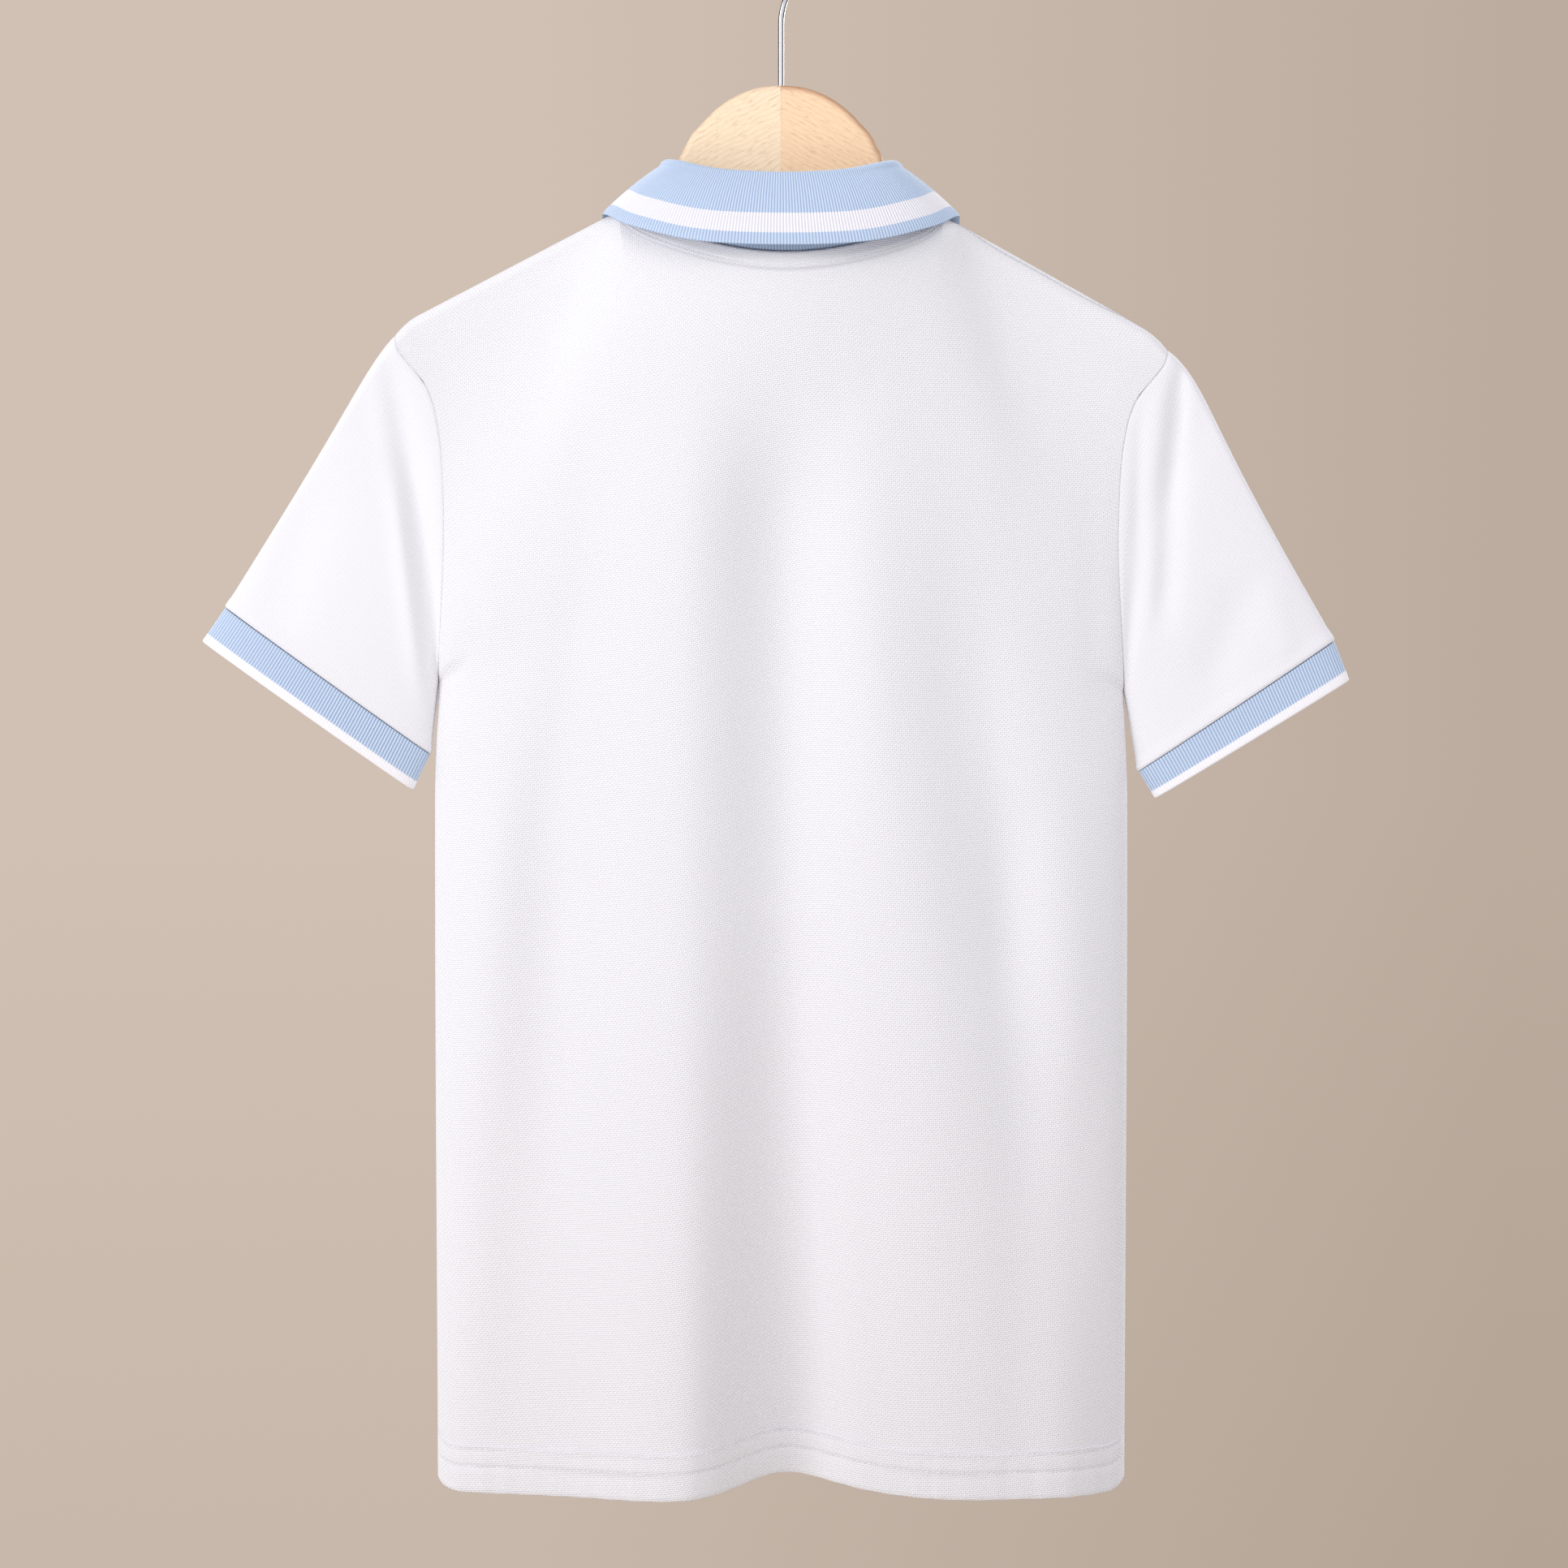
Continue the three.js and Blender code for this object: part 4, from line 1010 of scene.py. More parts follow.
def soften_panel(points, top_x, travel):
    """Takes the sharp turns out of the cloth below the neck corners and beside the under arm."""
    points = points.copy()
    corner, under_arm = CORNER_SOFTENING, UNDER_ARM_SOFTENING
    near_corner = np.exp(-(((np.abs(top_x) - NECK_HALF) / corner["half_width"]) ** 4))
    for r in range(len(points)):
        past = np.median(travel[r]) - corner["from_travel"]
        grown = ease(past / corner["over_travel"])
        if grown <= 0:
            continue
        x = points[r, :, 0]
        reach = 1 + corner["reach"] * grown
        for axis in (1, 2):
            soft = smooth_line(points[r, :, axis], x, reach)
            points[r, :, axis] = mix(points[r, :, axis], soft, near_corner * grown)
    inside = 1 - ease((np.abs(top_x) - under_arm["out_to"]) / under_arm["fade"])
    for c in range(len(top_x)):
        place = travel[:, c]
        nearness = np.exp(-(((place - ARMHOLE_TRAVEL) / under_arm["half_travel"]) ** 4))
        soft = smooth_line(points[:, c, 1], place, under_arm["reach"])
        points[:, c, 1] = mix(points[:, c, 1], soft, nearness * inside[c])
    return points


def grid_normals(points, face):
    """Directions out of a panel, from its own grid of points."""
    down = np.gradient(points, axis=0)
    across = np.gradient(points, axis=1)
    return unit(np.cross(across, down)) * OUTWARD[face]


def stitch_groove(distance, width=0.7):
    """1 on a line and fading to 0 beside it."""
    return np.exp(-((distance / width) ** 2))


def below_neck(top_x, travel):
    """Distance below the line of the neck band, which runs lower beside the neck corners."""
    return travel - NECK_BAND_LOWER * np.minimum(1, np.abs(top_x) / NECK_HALF) ** 4


def panel_detail(top_x, travel, to_hem):
    """How far the outer face stands off the plain wall: hem and neck bands, and stitch grooves."""
    wave = 0.12 * np.sin(top_x * 0.42) + 0.08 * np.sin(top_x * 1.13 + 1.0)
    in_band = ease((HEM_BAND + 0.8 - to_hem) / 1.2)
    out = in_band * (0.85 + wave * ease((HEM_BAND - to_hem) / 6))
    for line in (HEM_FIRST_LINE, HEM_SECOND_LINE):
        out -= 0.5 * stitch_groove(to_hem - line)
    inside_neck = ease((NECK_HALF + 3 - np.abs(top_x)) / 5)
    from_neck = below_neck(top_x, travel)
    out += inside_neck * 0.8 * ease((NECK_BAND + 0.8 - from_neck) / 1.2)
    out -= inside_neck * 0.45 * stitch_groove(from_neck - NECK_LINE)
    return out


def panel_shade(top_x, travel, to_hem, to_side):
    """How much painted shade darkens seams, band edges and stitch grooves; 0 on plain cloth."""
    shade = 0.16 * stitch_groove(to_hem - HEM_BAND - 0.4, 0.8)
    shade += 0.08 * stitch_groove(to_hem - HEM_FIRST_LINE)
    shade += 0.12 * stitch_groove(to_hem - HEM_SECOND_LINE, 0.7)
    inside_neck = ease((NECK_HALF + 3 - np.abs(top_x)) / 5)
    band_edge = stitch_groove(below_neck(top_x, travel) - NECK_BAND - 0.9, 0.9)
    shade += inside_neck * (0.32 * band_edge + 0.4 * stitch_groove(travel, 1.0))
    shade += (1 - inside_neck) * 0.22 * stitch_groove(travel, 0.9)
    return shade + 0.09 * stitch_groove(to_side, 1.1)


def panel_grids(face):
    """Everything about a panel that its cloth and its stitches need, as grids of one shape."""
    top_x = column_places(face)
    levels = panel_levels(face, top_x)
    grid_x = np.broadcast_to(top_x, levels.shape)
    points = panel_point(face, grid_x, levels)
    edge_normals = panel_normal(face, grid_x, levels)
    points = soften_panel(points, top_x, lengths_along(points, axis=0))
    normals = grid_normals(points, face)
    normals[:, [0, -1]] = edge_normals[:, [0, -1]]
    normals[[0, -1]] = edge_normals[[0, -1]]
    travel = lengths_along(points, axis=0)
    to_hem = travel[-1][None, :] - travel
    out = panel_detail(grid_x, travel, to_hem)
    shifted = (seam_level("front", top_x) < -1)[None, :] & (face == "front")
    strip = 0.5 * ease((SHOULDER_STRIP + 0.6 - travel) / 1.2)
    strip -= 0.3 * stitch_groove(travel - SHOULDER_LINE)
    out = out + np.where(shifted, strip, 0)
    aside = lengths_along(points, axis=1)
    to_side = np.minimum(aside, aside[:, -1:] - aside)
    shade = panel_shade(grid_x, travel, to_hem, to_side)
    shade += np.where(shifted, 0.2 * stitch_groove(travel - SHOULDER_STRIP - 0.7, 0.8), 0)
    past_fade = (np.abs(grid_x) - SIDE_FADE_FROM) / (SHOULDER_X - SIDE_FADE_FROM)
    edge_fade = 1 - np.clip(past_fade, 0, 1) ** 2
    outer = points + normals * (out * edge_fade)[..., None]
    bottom = ease((1.4 - to_hem) / 1.4) * 0.5
    outer -= normals * bottom[..., None]
    inner = points - normals * (CLOTH_WALL - bottom)[..., None]
    middle = len(top_x) // 2
    across = lengths_along(points[..., :2], axis=1)
    across -= across[:, middle : middle + 1]
    uv = np.stack([across, to_hem], axis=-1)
    return {
        "top_x": top_x,
        "levels": levels,
        "outer": outer,
        "inner": inner,
        "normals": normals,
        "travel": travel,
        "from_neck": below_neck(grid_x, travel),
        "to_hem": to_hem,
        "uv": uv,
        "shade": shade,
    }


def panel_cloth(face, kept=None):
    outer, inner, uv, shade = (PANELS[face][key] for key in ("outer", "inner", "uv", "shade"))
    return cloth_shell(f"{face}_cloth", outer, inner, body_cotton, uv, shade, kept)


def outside_slot():
    """The cells of the front that are cloth, all but those in the slot of the placket."""
    front = PANELS["front"]
    cell_middle = (front["top_x"][1:] + front["top_x"][:-1]) / 2
    middle = len(front["top_x"]) // 2
    above_foot = front["levels"][1:, middle : middle + 1] < level_of_travel(PLACKET_LENGTH)
    return ~((np.abs(cell_middle) < SLOT_HALF)[None, :] & above_foot)


PANELS = {face: panel_grids(face) for face in OUTWARD}
back_cloth = panel_cloth("back")
front_cloth = panel_cloth("front", kept=outside_slot())


# Sleeves


def armhole_loop(side, count):
    """Even places round the armhole, from the shoulder point down the back and up the front."""
    level = np.linspace(-1, UNDER_ARM_LEVEL, 90)
    down = panel_point("back", side * SHOULDER_X, level)
    up = panel_point("front", side * SHOULDER_X, level[1:-1][::-1])
    down[[0, -1], 1] = 0
    loop = np.concatenate([down, up, down[:1]])
    travelled = lengths_along(loop)
    wanted = np.arange(count) / count * travelled[-1]
    return np.stack([np.interp(wanted, travelled, loop[:, i]) for i in range(3)], axis=-1)


def flat_loop(side, outer_corner, inner_corner, half_depth, turn):
    """A flat loop between two corners; turn 0 is the outer corner and 0.5 the inner one."""
    angle = 2 * math.pi * turn
    along = (1 - np.cos(angle)) / 2
    depth = half_depth * np.sign(np.sin(angle)) * np.abs(np.sin(angle)) ** 0.8
    x = side * mix(outer_corner[0], inner_corner[0], along)
    return np.stack([x, depth, mix(outer_corner[1], inner_corner[1], along)], axis=-1)


def sleeve_points(name, turn, way):
    """The sleeve's outer surface: turn goes round it, way from the armhole to the cuff."""
    sleeve = SLEEVES[name]
    side = sleeve["side"]
    start = armhole_loop(side, len(turn))[None]
    end = flat_loop(side, sleeve["seam_outer"], sleeve["seam_inner"], SLEEVE_HALF_DEPTH, turn)[None]
    way = way[:, None]
    points = mix(start, end, way[..., None])
    round_turn = 2 * math.pi * turn[None]
    lengthwise = np.abs(np.sin(round_turn))
    face = np.sign(np.sin(round_turn))
    trough = np.exp(-(((way - SLEEVE_TROUGH_AT) / SLEEVE_TROUGH_WIDTH) ** 2)) * ease(way / 0.1)
    points[..., 1] -= face * SLEEVE_TROUGH_DEPTH * lengthwise * trough * 0.55
    cap = sleeve["cap_bulge"] * np.maximum(0, np.cos(round_turn)) ** 2
    swell = way / SLEEVE_CAP_AT * np.exp(1 - way / SLEEVE_CAP_AT) * cap
    points[..., 0] += side * swell * 0.84
    points[..., 2] += swell * 0.54
    for sign in (1, -1):
        creases = [row for row in SLEEVE_CREASES[name] if row["face"] == sign]
        rise = crease_rise(creases, points[..., 0], points[..., 2])
        held = ease(way / 0.06) * ease((1 - way) / 0.08) * lengthwise**0.6
        points[..., 1] += np.where(face == sign, sign * rise * held, 0)
    points[0, :, 0] -= side * SEAM_TUCK
    return points


def tube_normals(points):
    """Directions out of a tube given as a grid of rings."""
    along = np.gradient(points, axis=0)
    around = np.roll(points, -1, axis=1) - np.roll(points, 1, axis=1)
    normal = unit(np.cross(around, along))
    centre = points.mean(axis=1, keepdims=True)
    facing = np.sum(normal * (points - centre), axis=-1).sum()
    return normal if facing > 0 else -normal


def tube_shell(name, outer, inner, material, uv, shade):
    """A closed wall round a tube: outside rings, then inside rings back to the start."""
    rings = np.concatenate([outer, inner[::-1]])
    both = np.concatenate([uv, uv[::-1]])
    shades = np.concatenate([shade, shade[::-1]])
    return ring_shell(name, rings, material, both, shade=shades)


def sleeve_pattern(sleeve, points):
    """Places in the flat cut: sideways from the outer fold, and upward along it from the cuff."""
    corner = np.array([sleeve["side"] * sleeve["seam_outer"][0], sleeve["seam_outer"][1]])
    top = np.array([sleeve["side"] * SHOULDER_X, ridge_height(sleeve["side"] * SHOULDER_X)])
    along = unit(top - corner)
    aside = np.array([along[1], -along[0]])
    step = np.diff(points, axis=1)
    walked = np.hypot(step[..., [0, 2]] @ aside, step[..., 1])
    walked = np.concatenate([np.zeros((len(points), 1)), np.cumsum(walked, axis=1)], axis=1)
    fold = points.shape[1] // 2
    up = (points[..., [0, 2]] - corner) @ along
    return np.stack([walked - walked[:, fold : fold + 1], up], axis=-1)


def make_sleeve(name):
    """A sleeve as a tube of cloth, with its uv seam under the arm."""
    sleeve = SLEEVES[name]
    turn = np.arange(168) / 168
    near_armhole, near_cuff = [0, 0.006, 0.016, 0.03], [0.985, 0.993, 0.998, 1]
    way = np.concatenate([near_armhole, np.linspace(0.045, 0.975, 74), near_cuff])
    outer = sleeve_points(name, turn, way)
    normals = tube_normals(outer)
    normals[0, :, 0] = 0
    normals[0] = unit(normals[0])
    run = np.array(sleeve["edge_outer"]) - np.array(sleeve["seam_outer"])
    lengthwise = unit(np.array([sleeve["side"] * run[0], 0, run[1]]))
    flat = normals[-1] - (normals[-1] @ lengthwise)[:, None] * lengthwise
    normals[-1] = unit(flat)
    travel = lengths_along(outer, axis=0)
    from_cuff = travel[-1][None] - travel
    overhang = 0.5 * ease((9 - from_cuff) / 8)
    tucked = 0.3 * ease((1.2 - travel) / 1.2) + 0.5 * ease((0.8 - from_cuff) / 0.8)
    inner = outer - normals * CLOTH_WALL
    outer = outer + normals * (overhang - tucked)[..., None]
    shade = 0.09 * stitch_groove(travel, 1.3) + 0.2 * stitch_groove(from_cuff, 0.9)
    under_arm = len(turn) // 2
    grids = (outer, inner, from_cuff, shade)
    outer, inner, from_cuff, shade = (np.roll(grid, -under_arm, axis=1) for grid in grids)
    uv = sleeve_pattern(sleeve, outer)
    return tube_shell(f"sleeve_{name}_cloth", outer, inner, sleeve_cotton, uv, shade)


# Cuffs


def even_turns(points_at, count, samples=2000):
    """Turns that cut a closed line into even lengths."""
    turn = np.linspace(0, 1, samples + 1)
    travelled = lengths_along(points_at(turn))
    return np.interp(np.arange(count) / count * travelled[-1], travelled, turn), travelled[-1]


def rib_relief(count, per_rib):
    """Height of the ribs at points along the knit, with a few points to each rib."""
    phase = np.arange(count) / per_rib * 2 * math.pi
    return RIB_HEIGHT * (0.5 - 0.5 * np.cos(phase)) ** 0.8


def make_cuff(name):
    """A ribbed band round the sleeve's end, rounded at its edge."""
    sleeve = SLEEVES[name]
    seam = [np.array(sleeve["seam_outer"]), np.array(sleeve["seam_inner"])]
    edge = [np.array(sleeve["edge_outer"]), np.array(sleeve["edge_inner"])]
    depth = np.linalg.norm(edge[0] - seam[0])

    def loop(way, inset, turn):
        outer_corner, inner_corner = mix(seam[0], edge[0], way), mix(seam[1], edge[1], way)
        span = np.linalg.norm(outer_corner - inner_corner)
        share = inset / span
        return flat_loop(
            sleeve["side"],
            mix(outer_corner, inner_corner, share),
            mix(inner_corner, outer_corner, share),
            SLEEVE_HALF_DEPTH - inset,
            turn,
        )

    _, length = even_turns(lambda turn: loop(1, 0, turn), 4)
    ribs = round(length / RIB_PITCH)
    per_rib = 5
    turn, _ = even_turns(lambda value: loop(1, 0, value), per_rib * ribs)
    turn = np.roll(turn, -per_rib * (ribs // 2))
    relief = rib_relief(per_rib * ribs, per_rib)
    width = np.arange(len(turn)) * RIB_PITCH / per_rib
    middle, half = 0.2 + RIB_HEIGHT + RIB_WALL / 2, RIB_WALL / 2
    corner = np.linspace(0, math.pi, 9)
    outside = [(way, -half) for way in np.linspace(0.02, 0.955, 18)]
    bend = [(1 - half / depth * (1 - math.sin(a)), -half * math.cos(a)) for a in corner[1:-1]]
    inside = [(way, half) for way in np.linspace(0.955, 0.02, 10)]
    section = outside + bend + inside
    rings, bands, reliefs = [], [], []
    for way, off in section:
        white = ease((way - (1 - CUFF_WHITE_BAND / depth)) / 0.06)
        ribbed = relief * (1 - 0.9 * white) * (1 if off < 0 else 0.35)
        proud = 0.45 * white * (-off / half if off < 0 else 0)
        points = loop(way, middle + off, turn)
        outward = unit(loop(way, 0, turn) - loop(way, 2, turn))
        rings.append(points + outward * (ribbed + proud)[:, None])
        bands.append(np.full(len(turn), way * depth))
        # The relief attribute sets the painted groove shade, weaker on the white edge
        reliefs.append(1 - (1 - relief / RIB_HEIGHT) * (1 - 0.8 * white))
    points, band, relief = np.stack(rings), np.stack(bands), np.stack(reliefs)
    uv = np.stack([np.broadcast_to(width, band.shape), band], axis=-1)
    return ring_shell(f"cuff_{name}_knit", points, cuff_knit, uv, band=band, relief=relief)


# Collar


def collar_lines(place):
    """The middle of the collar's wall: sections from the neck seam to the leaf's edge."""
    turn = (place - 0.5) * 2
    side = np.where(turn < 0, -1.0, 1.0)
    angle = np.abs(turn) * COLLAR_SECTIONS[-1]["angle"]

    def value(column):
        return table_value(COLLAR_SECTIONS, "angle", column, angle)

    radians = np.radians(angle)
    behind = angle < 90
    seam_x = side * NECK_HALF * np.sin(radians)
    inside = np.maximum(0, 1 - (seam_x / NECK_HALF) ** 2)
    drop = np.where(behind, NECK_DROP["back"], NECK_DROP["front"])
    depth = np.where(behind, NECK_DEPTH["back"], NECK_DEPTH["front"])
    seam_z = CORNER_HEIGHT + ASKEW * seam_x - drop * inside + SEAM_GAP
    seam = np.stack([seam_x, depth * np.cos(radians), seam_z], axis=-1)
    inward = unit(seam * [-1, -1, 0])
    seam = seam + inward * (RIB_WALL / 2 + 0.2)

    def line(start):
        x = side * value(start + "_x")
        return np.stack([x, value(start + "_y"), value(start + "_z") + COLLAR_TILT * x], axis=-1)

    roll, edge = line("roll"), line("edge")
    outwards = unit((edge - roll) * [1, 1, 0])
    arc = []
    for degrees in (180, 155, 130, 110, 90, 70, 50, 25, 0):
        bend = math.radians(degrees)
        lift = ROLL_RADIUS * (math.sin(bend) - 1)
        arc.append(roll + outwards * (ROLL_RADIUS * math.cos(bend)) + np.array([0, 0, lift]))
    stand_bow, leaf_bow = 1.2, 1.6
    ways = np.linspace(0, 1, 7)[:-1]
    bows = stand_bow * np.sin(math.pi * ways)
    stand = [mix(seam, arc[0], way) + inward * bow for way, bow in zip(ways, bows)]
    ways = np.linspace(0, 1, 15)[1:]
    bows = leaf_bow * np.sin(math.pi * ways**0.8)
    leaf = [mix(arc[-1], edge, way) + outwards * bow for way, bow in zip(ways, bows)]
    return np.stack(stand + arc + leaf)


def make_collar():
    """The ribbed collar: stand, fold and leaf in one piece, closed at both front edges."""
    samples = np.linspace(0, 1, 1501)
    edge_travel = lengths_along(collar_lines(samples)[-1])
    ribs = round(edge_travel[-1] / RIB_PITCH)
    per_rib = 4
    count = per_rib * ribs + 1
    place = np.interp(np.linspace(0, edge_travel[-1], count), edge_travel, samples)
    lines = collar_lines(place)
    along = np.gradient(lines, axis=1)
    across = np.gradient(lines, axis=0)
    normal = unit(np.cross(along, across))
    if normal[-1, count // 2, 1] < 0:
        normal = -normal
    normal[0, :, 2] = 0
    normal[0] = unit(normal[0])
    relief = rib_relief(count, per_rib)
    travel = lengths_along(lines, axis=0)
    to_edge = travel[-1][None] - travel
    half = RIB_WALL / 2
    thin = np.ones((len(lines), 1))
    thin[-1] = 0.55
    face_out = (half + relief) * thin - RIB_HEIGHT
    under_out = (half + 0.6 * relief) * thin - 0.6 * RIB_HEIGHT
    face = lines + normal * face_out[..., None]
    under = lines - normal * under_out[..., None]
    tip = lines[-1:] + unit(lines[-1:] - lines[-2:-1]) * 0.55
    rings = np.concatenate([face, tip, under[::-1]])
    distance = np.concatenate([to_edge, to_edge[-1:] - 0.5, to_edge[::-1]])
    width = np.broadcast_to(np.arange(count) * RIB_PITCH / per_rib, distance.shape)
    rings = rings.transpose(1, 0, 2)
    uv = np.stack([width, distance], axis=-1).transpose(1, 0, 2)
    # The relief attribute sets the painted shade in the rib grooves
    shares = np.broadcast_to(relief / RIB_HEIGHT, distance.shape).T
    return ring_shell(
        "collar_knit", rings, collar_knit, uv, around=False, band=distance.T, relief=shares
    )


collar_knit = rib_material("collar_knit", COLLAR_EDGE_BAND, COLLAR_EDGE_BAND + COLLAR_WHITE_BAND)
cuff_knit = rib_material("cuff_knit", CUFF_WHITE_FROM, CUFF_WHITE_TO)
sleeve_cloths = {name: make_sleeve(name) for name in SLEEVES}
cuff_knits = {name: make_cuff(name) for name in SLEEVES}
collar = make_collar()


# Placket


def front_strip(name, half_width, foot_level, outer_at, inner_at, grooves=()):
    """A strip of cloth on the front, between two distances out of the panel's outer face."""
    level = np.concatenate([np.linspace(-1, 0, 9), np.linspace(0, foot_level, 56)[1:]])
    top_x = np.linspace(-half_width, half_width, 41)
    grid_level, grid_x = np.meshgrid(level, top_x, indexing="ij")
    to_side = half_width - np.abs(grid_x)
    points = panel_point("front", grid_x, grid_level)
    normals = panel_normal("front", grid_x, grid_level)
    rounded = 0.45 * (1 - ease(to_side / 1.2))
    shade = 0.35 * stitch_groove(to_side, 0.8)
    for distance in grooves:
        groove = stitch_groove(to_side - distance)
        rounded = rounded + 0.35 * groove
        shade = shade + 0.2 * groove
    outer = points + normals * (outer_at - rounded)[..., None]
    inner = points + normals * inner_at
    travel = lengths_along(points, axis=0)
    uv = np.stack([grid_x, -travel], axis=-1)
    return cloth_shell(name, outer, inner, body_cotton, uv, shade)


placket_foot = level_of_travel(PLACKET_LENGTH)
placket_under = front_strip(
    "placket_under_cloth", SLOT_HALF - SEAM_GAP, placket_foot, 0, -CLOTH_WALL
)
placket_upper = front_strip(
    "placket_upper_cloth",
    STRIP_HALF,
    placket_foot + 0.009,
    SEAM_GAP + STRIP_WALL,
    SEAM_GAP,
    grooves=[STRIP_LINE],
)


# Stitches: one small thread is laid along each seam line


def stitch_tree():
    """Lays a thread of a given length along a line at an even pitch, flat on the cloth."""
    tree = bpy.data.node_groups.new("seam_stitches", "GeometryNodeTree")
    for label, kind, value in (
        ("Geometry", "NodeSocketGeometry", None),
        ("Pitch", "NodeSocketFloat", 2.9 * MM),
        ("Length", "NodeSocketFloat", 2.2 * MM),
        ("Thread", "NodeSocketFloat", 0.24 * MM),
        ("Material", "NodeSocketMaterial", None),
    ):
        socket = tree.interface.new_socket(label, in_out="INPUT", socket_type=kind)
        if value is not None:
            socket.default_value = value
    tree.interface.new_socket("Geometry", in_out="OUTPUT", socket_type="NodeSocketGeometry")
    t = Tree(tree)
    given = t.node("NodeGroupInput").outputs
    line = t.node("GeometryNodeMeshToCurve", {"Mesh": given["Geometry"]})
    outward = t.node(
        "GeometryNodeInputNamedAttribute", {"Name": "outward"}, data_type="FLOAT_VECTOR"
    )
    even = t.node(
        "GeometryNodeResampleCurve",
        {"Curve": line.outputs["Curve"], "Length": given["Pitch"]},
        mode="LENGTH",
    )
    bead = t.node("GeometryNodeMeshUVSphere", {"Segments": 6, "Rings": 6, "Radius": 1.0})
    half = t.math("MULTIPLY", given["Length"], 0.5)
    size = t.node("ShaderNodeCombineXYZ", {"X": half, "Y": given["Thread"], "Z": given["Thread"]})
    tangent = t.node("GeometryNodeInputTangent")
    lengthwise = t.node(
        "FunctionNodeAlignRotationToVector", {"Vector": tangent.outputs[0]}, axis="X"
    )
    upright = t.node(
        "FunctionNodeAlignRotationToVector",
        {"Rotation": lengthwise.outputs[0], "Vector": outward.outputs["Attribute"]},
        axis="Z",
        pivot_axis="X",
    )
    laid = t.node(
        "GeometryNodeInstanceOnPoints",
        {
            "Points": even.outputs[0],
            "Instance": bead.outputs["Mesh"],
            "Rotation": upright.outputs[0],
            "Scale": size.outputs[0],
        },
    )
    real = t.node("GeometryNodeRealizeInstances", {"Geometry": laid.outputs[0]})
    smooth = t.node("GeometryNodeSetShadeSmooth", {"Geometry": real.outputs[0]})
    finished = t.node(
        "GeometryNodeSetMaterial",
        {"Geometry": smooth.outputs[0], "Material": given["Material"]},
    )
    result = t.node("NodeGroupOutput")
    tree.links.new(finished.outputs[0], result.inputs[0])
    return tree


STITCHES = stitch_tree()


def sew(name, lines, pitch, length, thread_radius=0.24):
    """Stitches along lines of (points, outward directions) in millimetres, as one plain mesh."""
    points = np.concatenate([line for line, _ in lines]) * MM
    outward = np.concatenate([directions for _, directions in lines])
    edges, start = [], 0
    for line, _ in lines:
        edges += [(start + i, start + i + 1) for i in range(len(line) - 1)]
        start += len(line)
    mesh = bpy.data.meshes.new(name + "_line")
    mesh.from_pydata(points.tolist(), edges, [])
    attribute = mesh.attributes.new("outward", "FLOAT_VECTOR", "POINT")
    attribute.data.foreach_set("vector", outward.astype(np.float32).ravel())
    guide = place_object(name + "_line", mesh)
    modifier = guide.modifiers.new("stitches", "NODES")
    modifier.node_group = STITCHES
    values = {
        "Pitch": pitch * MM,
        "Length": length * MM,
        "Thread": thread_radius * MM,
        "Material": thread,
    }
    for item in STITCHES.interface.items_tree:
        if item.in_out == "INPUT" and item.name in values:
            modifier[item.identifier] = values[item.name]
    depsgraph = bpy.context.evaluated_depsgraph_get()
    result = bpy.data.meshes.new_from_object(guide.evaluated_get(depsgraph))
    result.name = name
    guide.modifiers.remove(modifier)
    bpy.data.objects.remove(guide)
    return place_object(name, result)


def panel_line(face, top_x, level, out):
    points = off_panel(face, top_x, level, out)
    return points, panel_normal(face, top_x, level)


def grid_line(face, measure, wanted, columns):
    """A line over a panel where a measure down its columns has a wanted value."""
    panel = PANELS[face]
    points, directions = [], []
    for c in columns:
        down = panel[measure][:, c]
        order = slice(None) if down[-1] > down[0] else slice(None, None, -1)
        for found, grid in ((points, panel["outer"]), (directions, panel["normals"])):
            found.append([np.interp(wanted, down[order], grid[order, c, i]) for i in range(3)])
    return np.array(points), unit(np.array(directions))


def columns_between(face, low, high):
    top_x = PANELS[face]["top_x"]
    return np.flatnonzero((top_x > low) & (top_x < high))


def hem_lines():
    lines = []
    for face in OUTWARD:
        columns = columns_between(face, -SHOULDER_X + 1, SHOULDER_X - 1)
        for height in (HEM_FIRST_LINE, HEM_SECOND_LINE):
            lines.append(grid_line(face, "to_hem", height, columns))
    return lines


def neck_line():
    columns = columns_between("back", -NECK_HALF, NECK_HALF)
    return [grid_line("back", "from_neck", NECK_LINE, columns)]


def shoulder_lines():
    columns = columns_between("front", -182, -90)
    return [grid_line("front", "travel", SHOULDER_LINE, columns)]


def placket_lines():
    level = np.concatenate([np.linspace(-0.9, 0, 12), np.linspace(0, placket_foot, 60)[1:]])
    out = SEAM_GAP + STRIP_WALL + 0.02
    side = STRIP_HALF - STRIP_LINE
    lines = []
    for x in (-side, side):
        lines.append(panel_line("front", np.full(len(level), x), level, np.full(len(level), out)))
    across = np.linspace(-side, side, 24)
    for foot in (placket_foot + 0.004, placket_foot - 0.012):
        foot_level = np.full(len(across), foot)
        lines.append(panel_line("front", across, foot_level, np.full(len(across), out)))
    return lines


hem_stitches = sew("hem_stitches", hem_lines(), pitch=3.0, length=2.3)
neck_stitches = sew("neck_stitches", neck_line(), pitch=2.6, length=2.0)
shoulder_stitches = sew("shoulder_stitches", shoulder_lines(), pitch=2.8, length=2.1)
placket_stitches = sew("placket_stitches", placket_lines(), pitch=2.4, length=1.9)


# Buttons


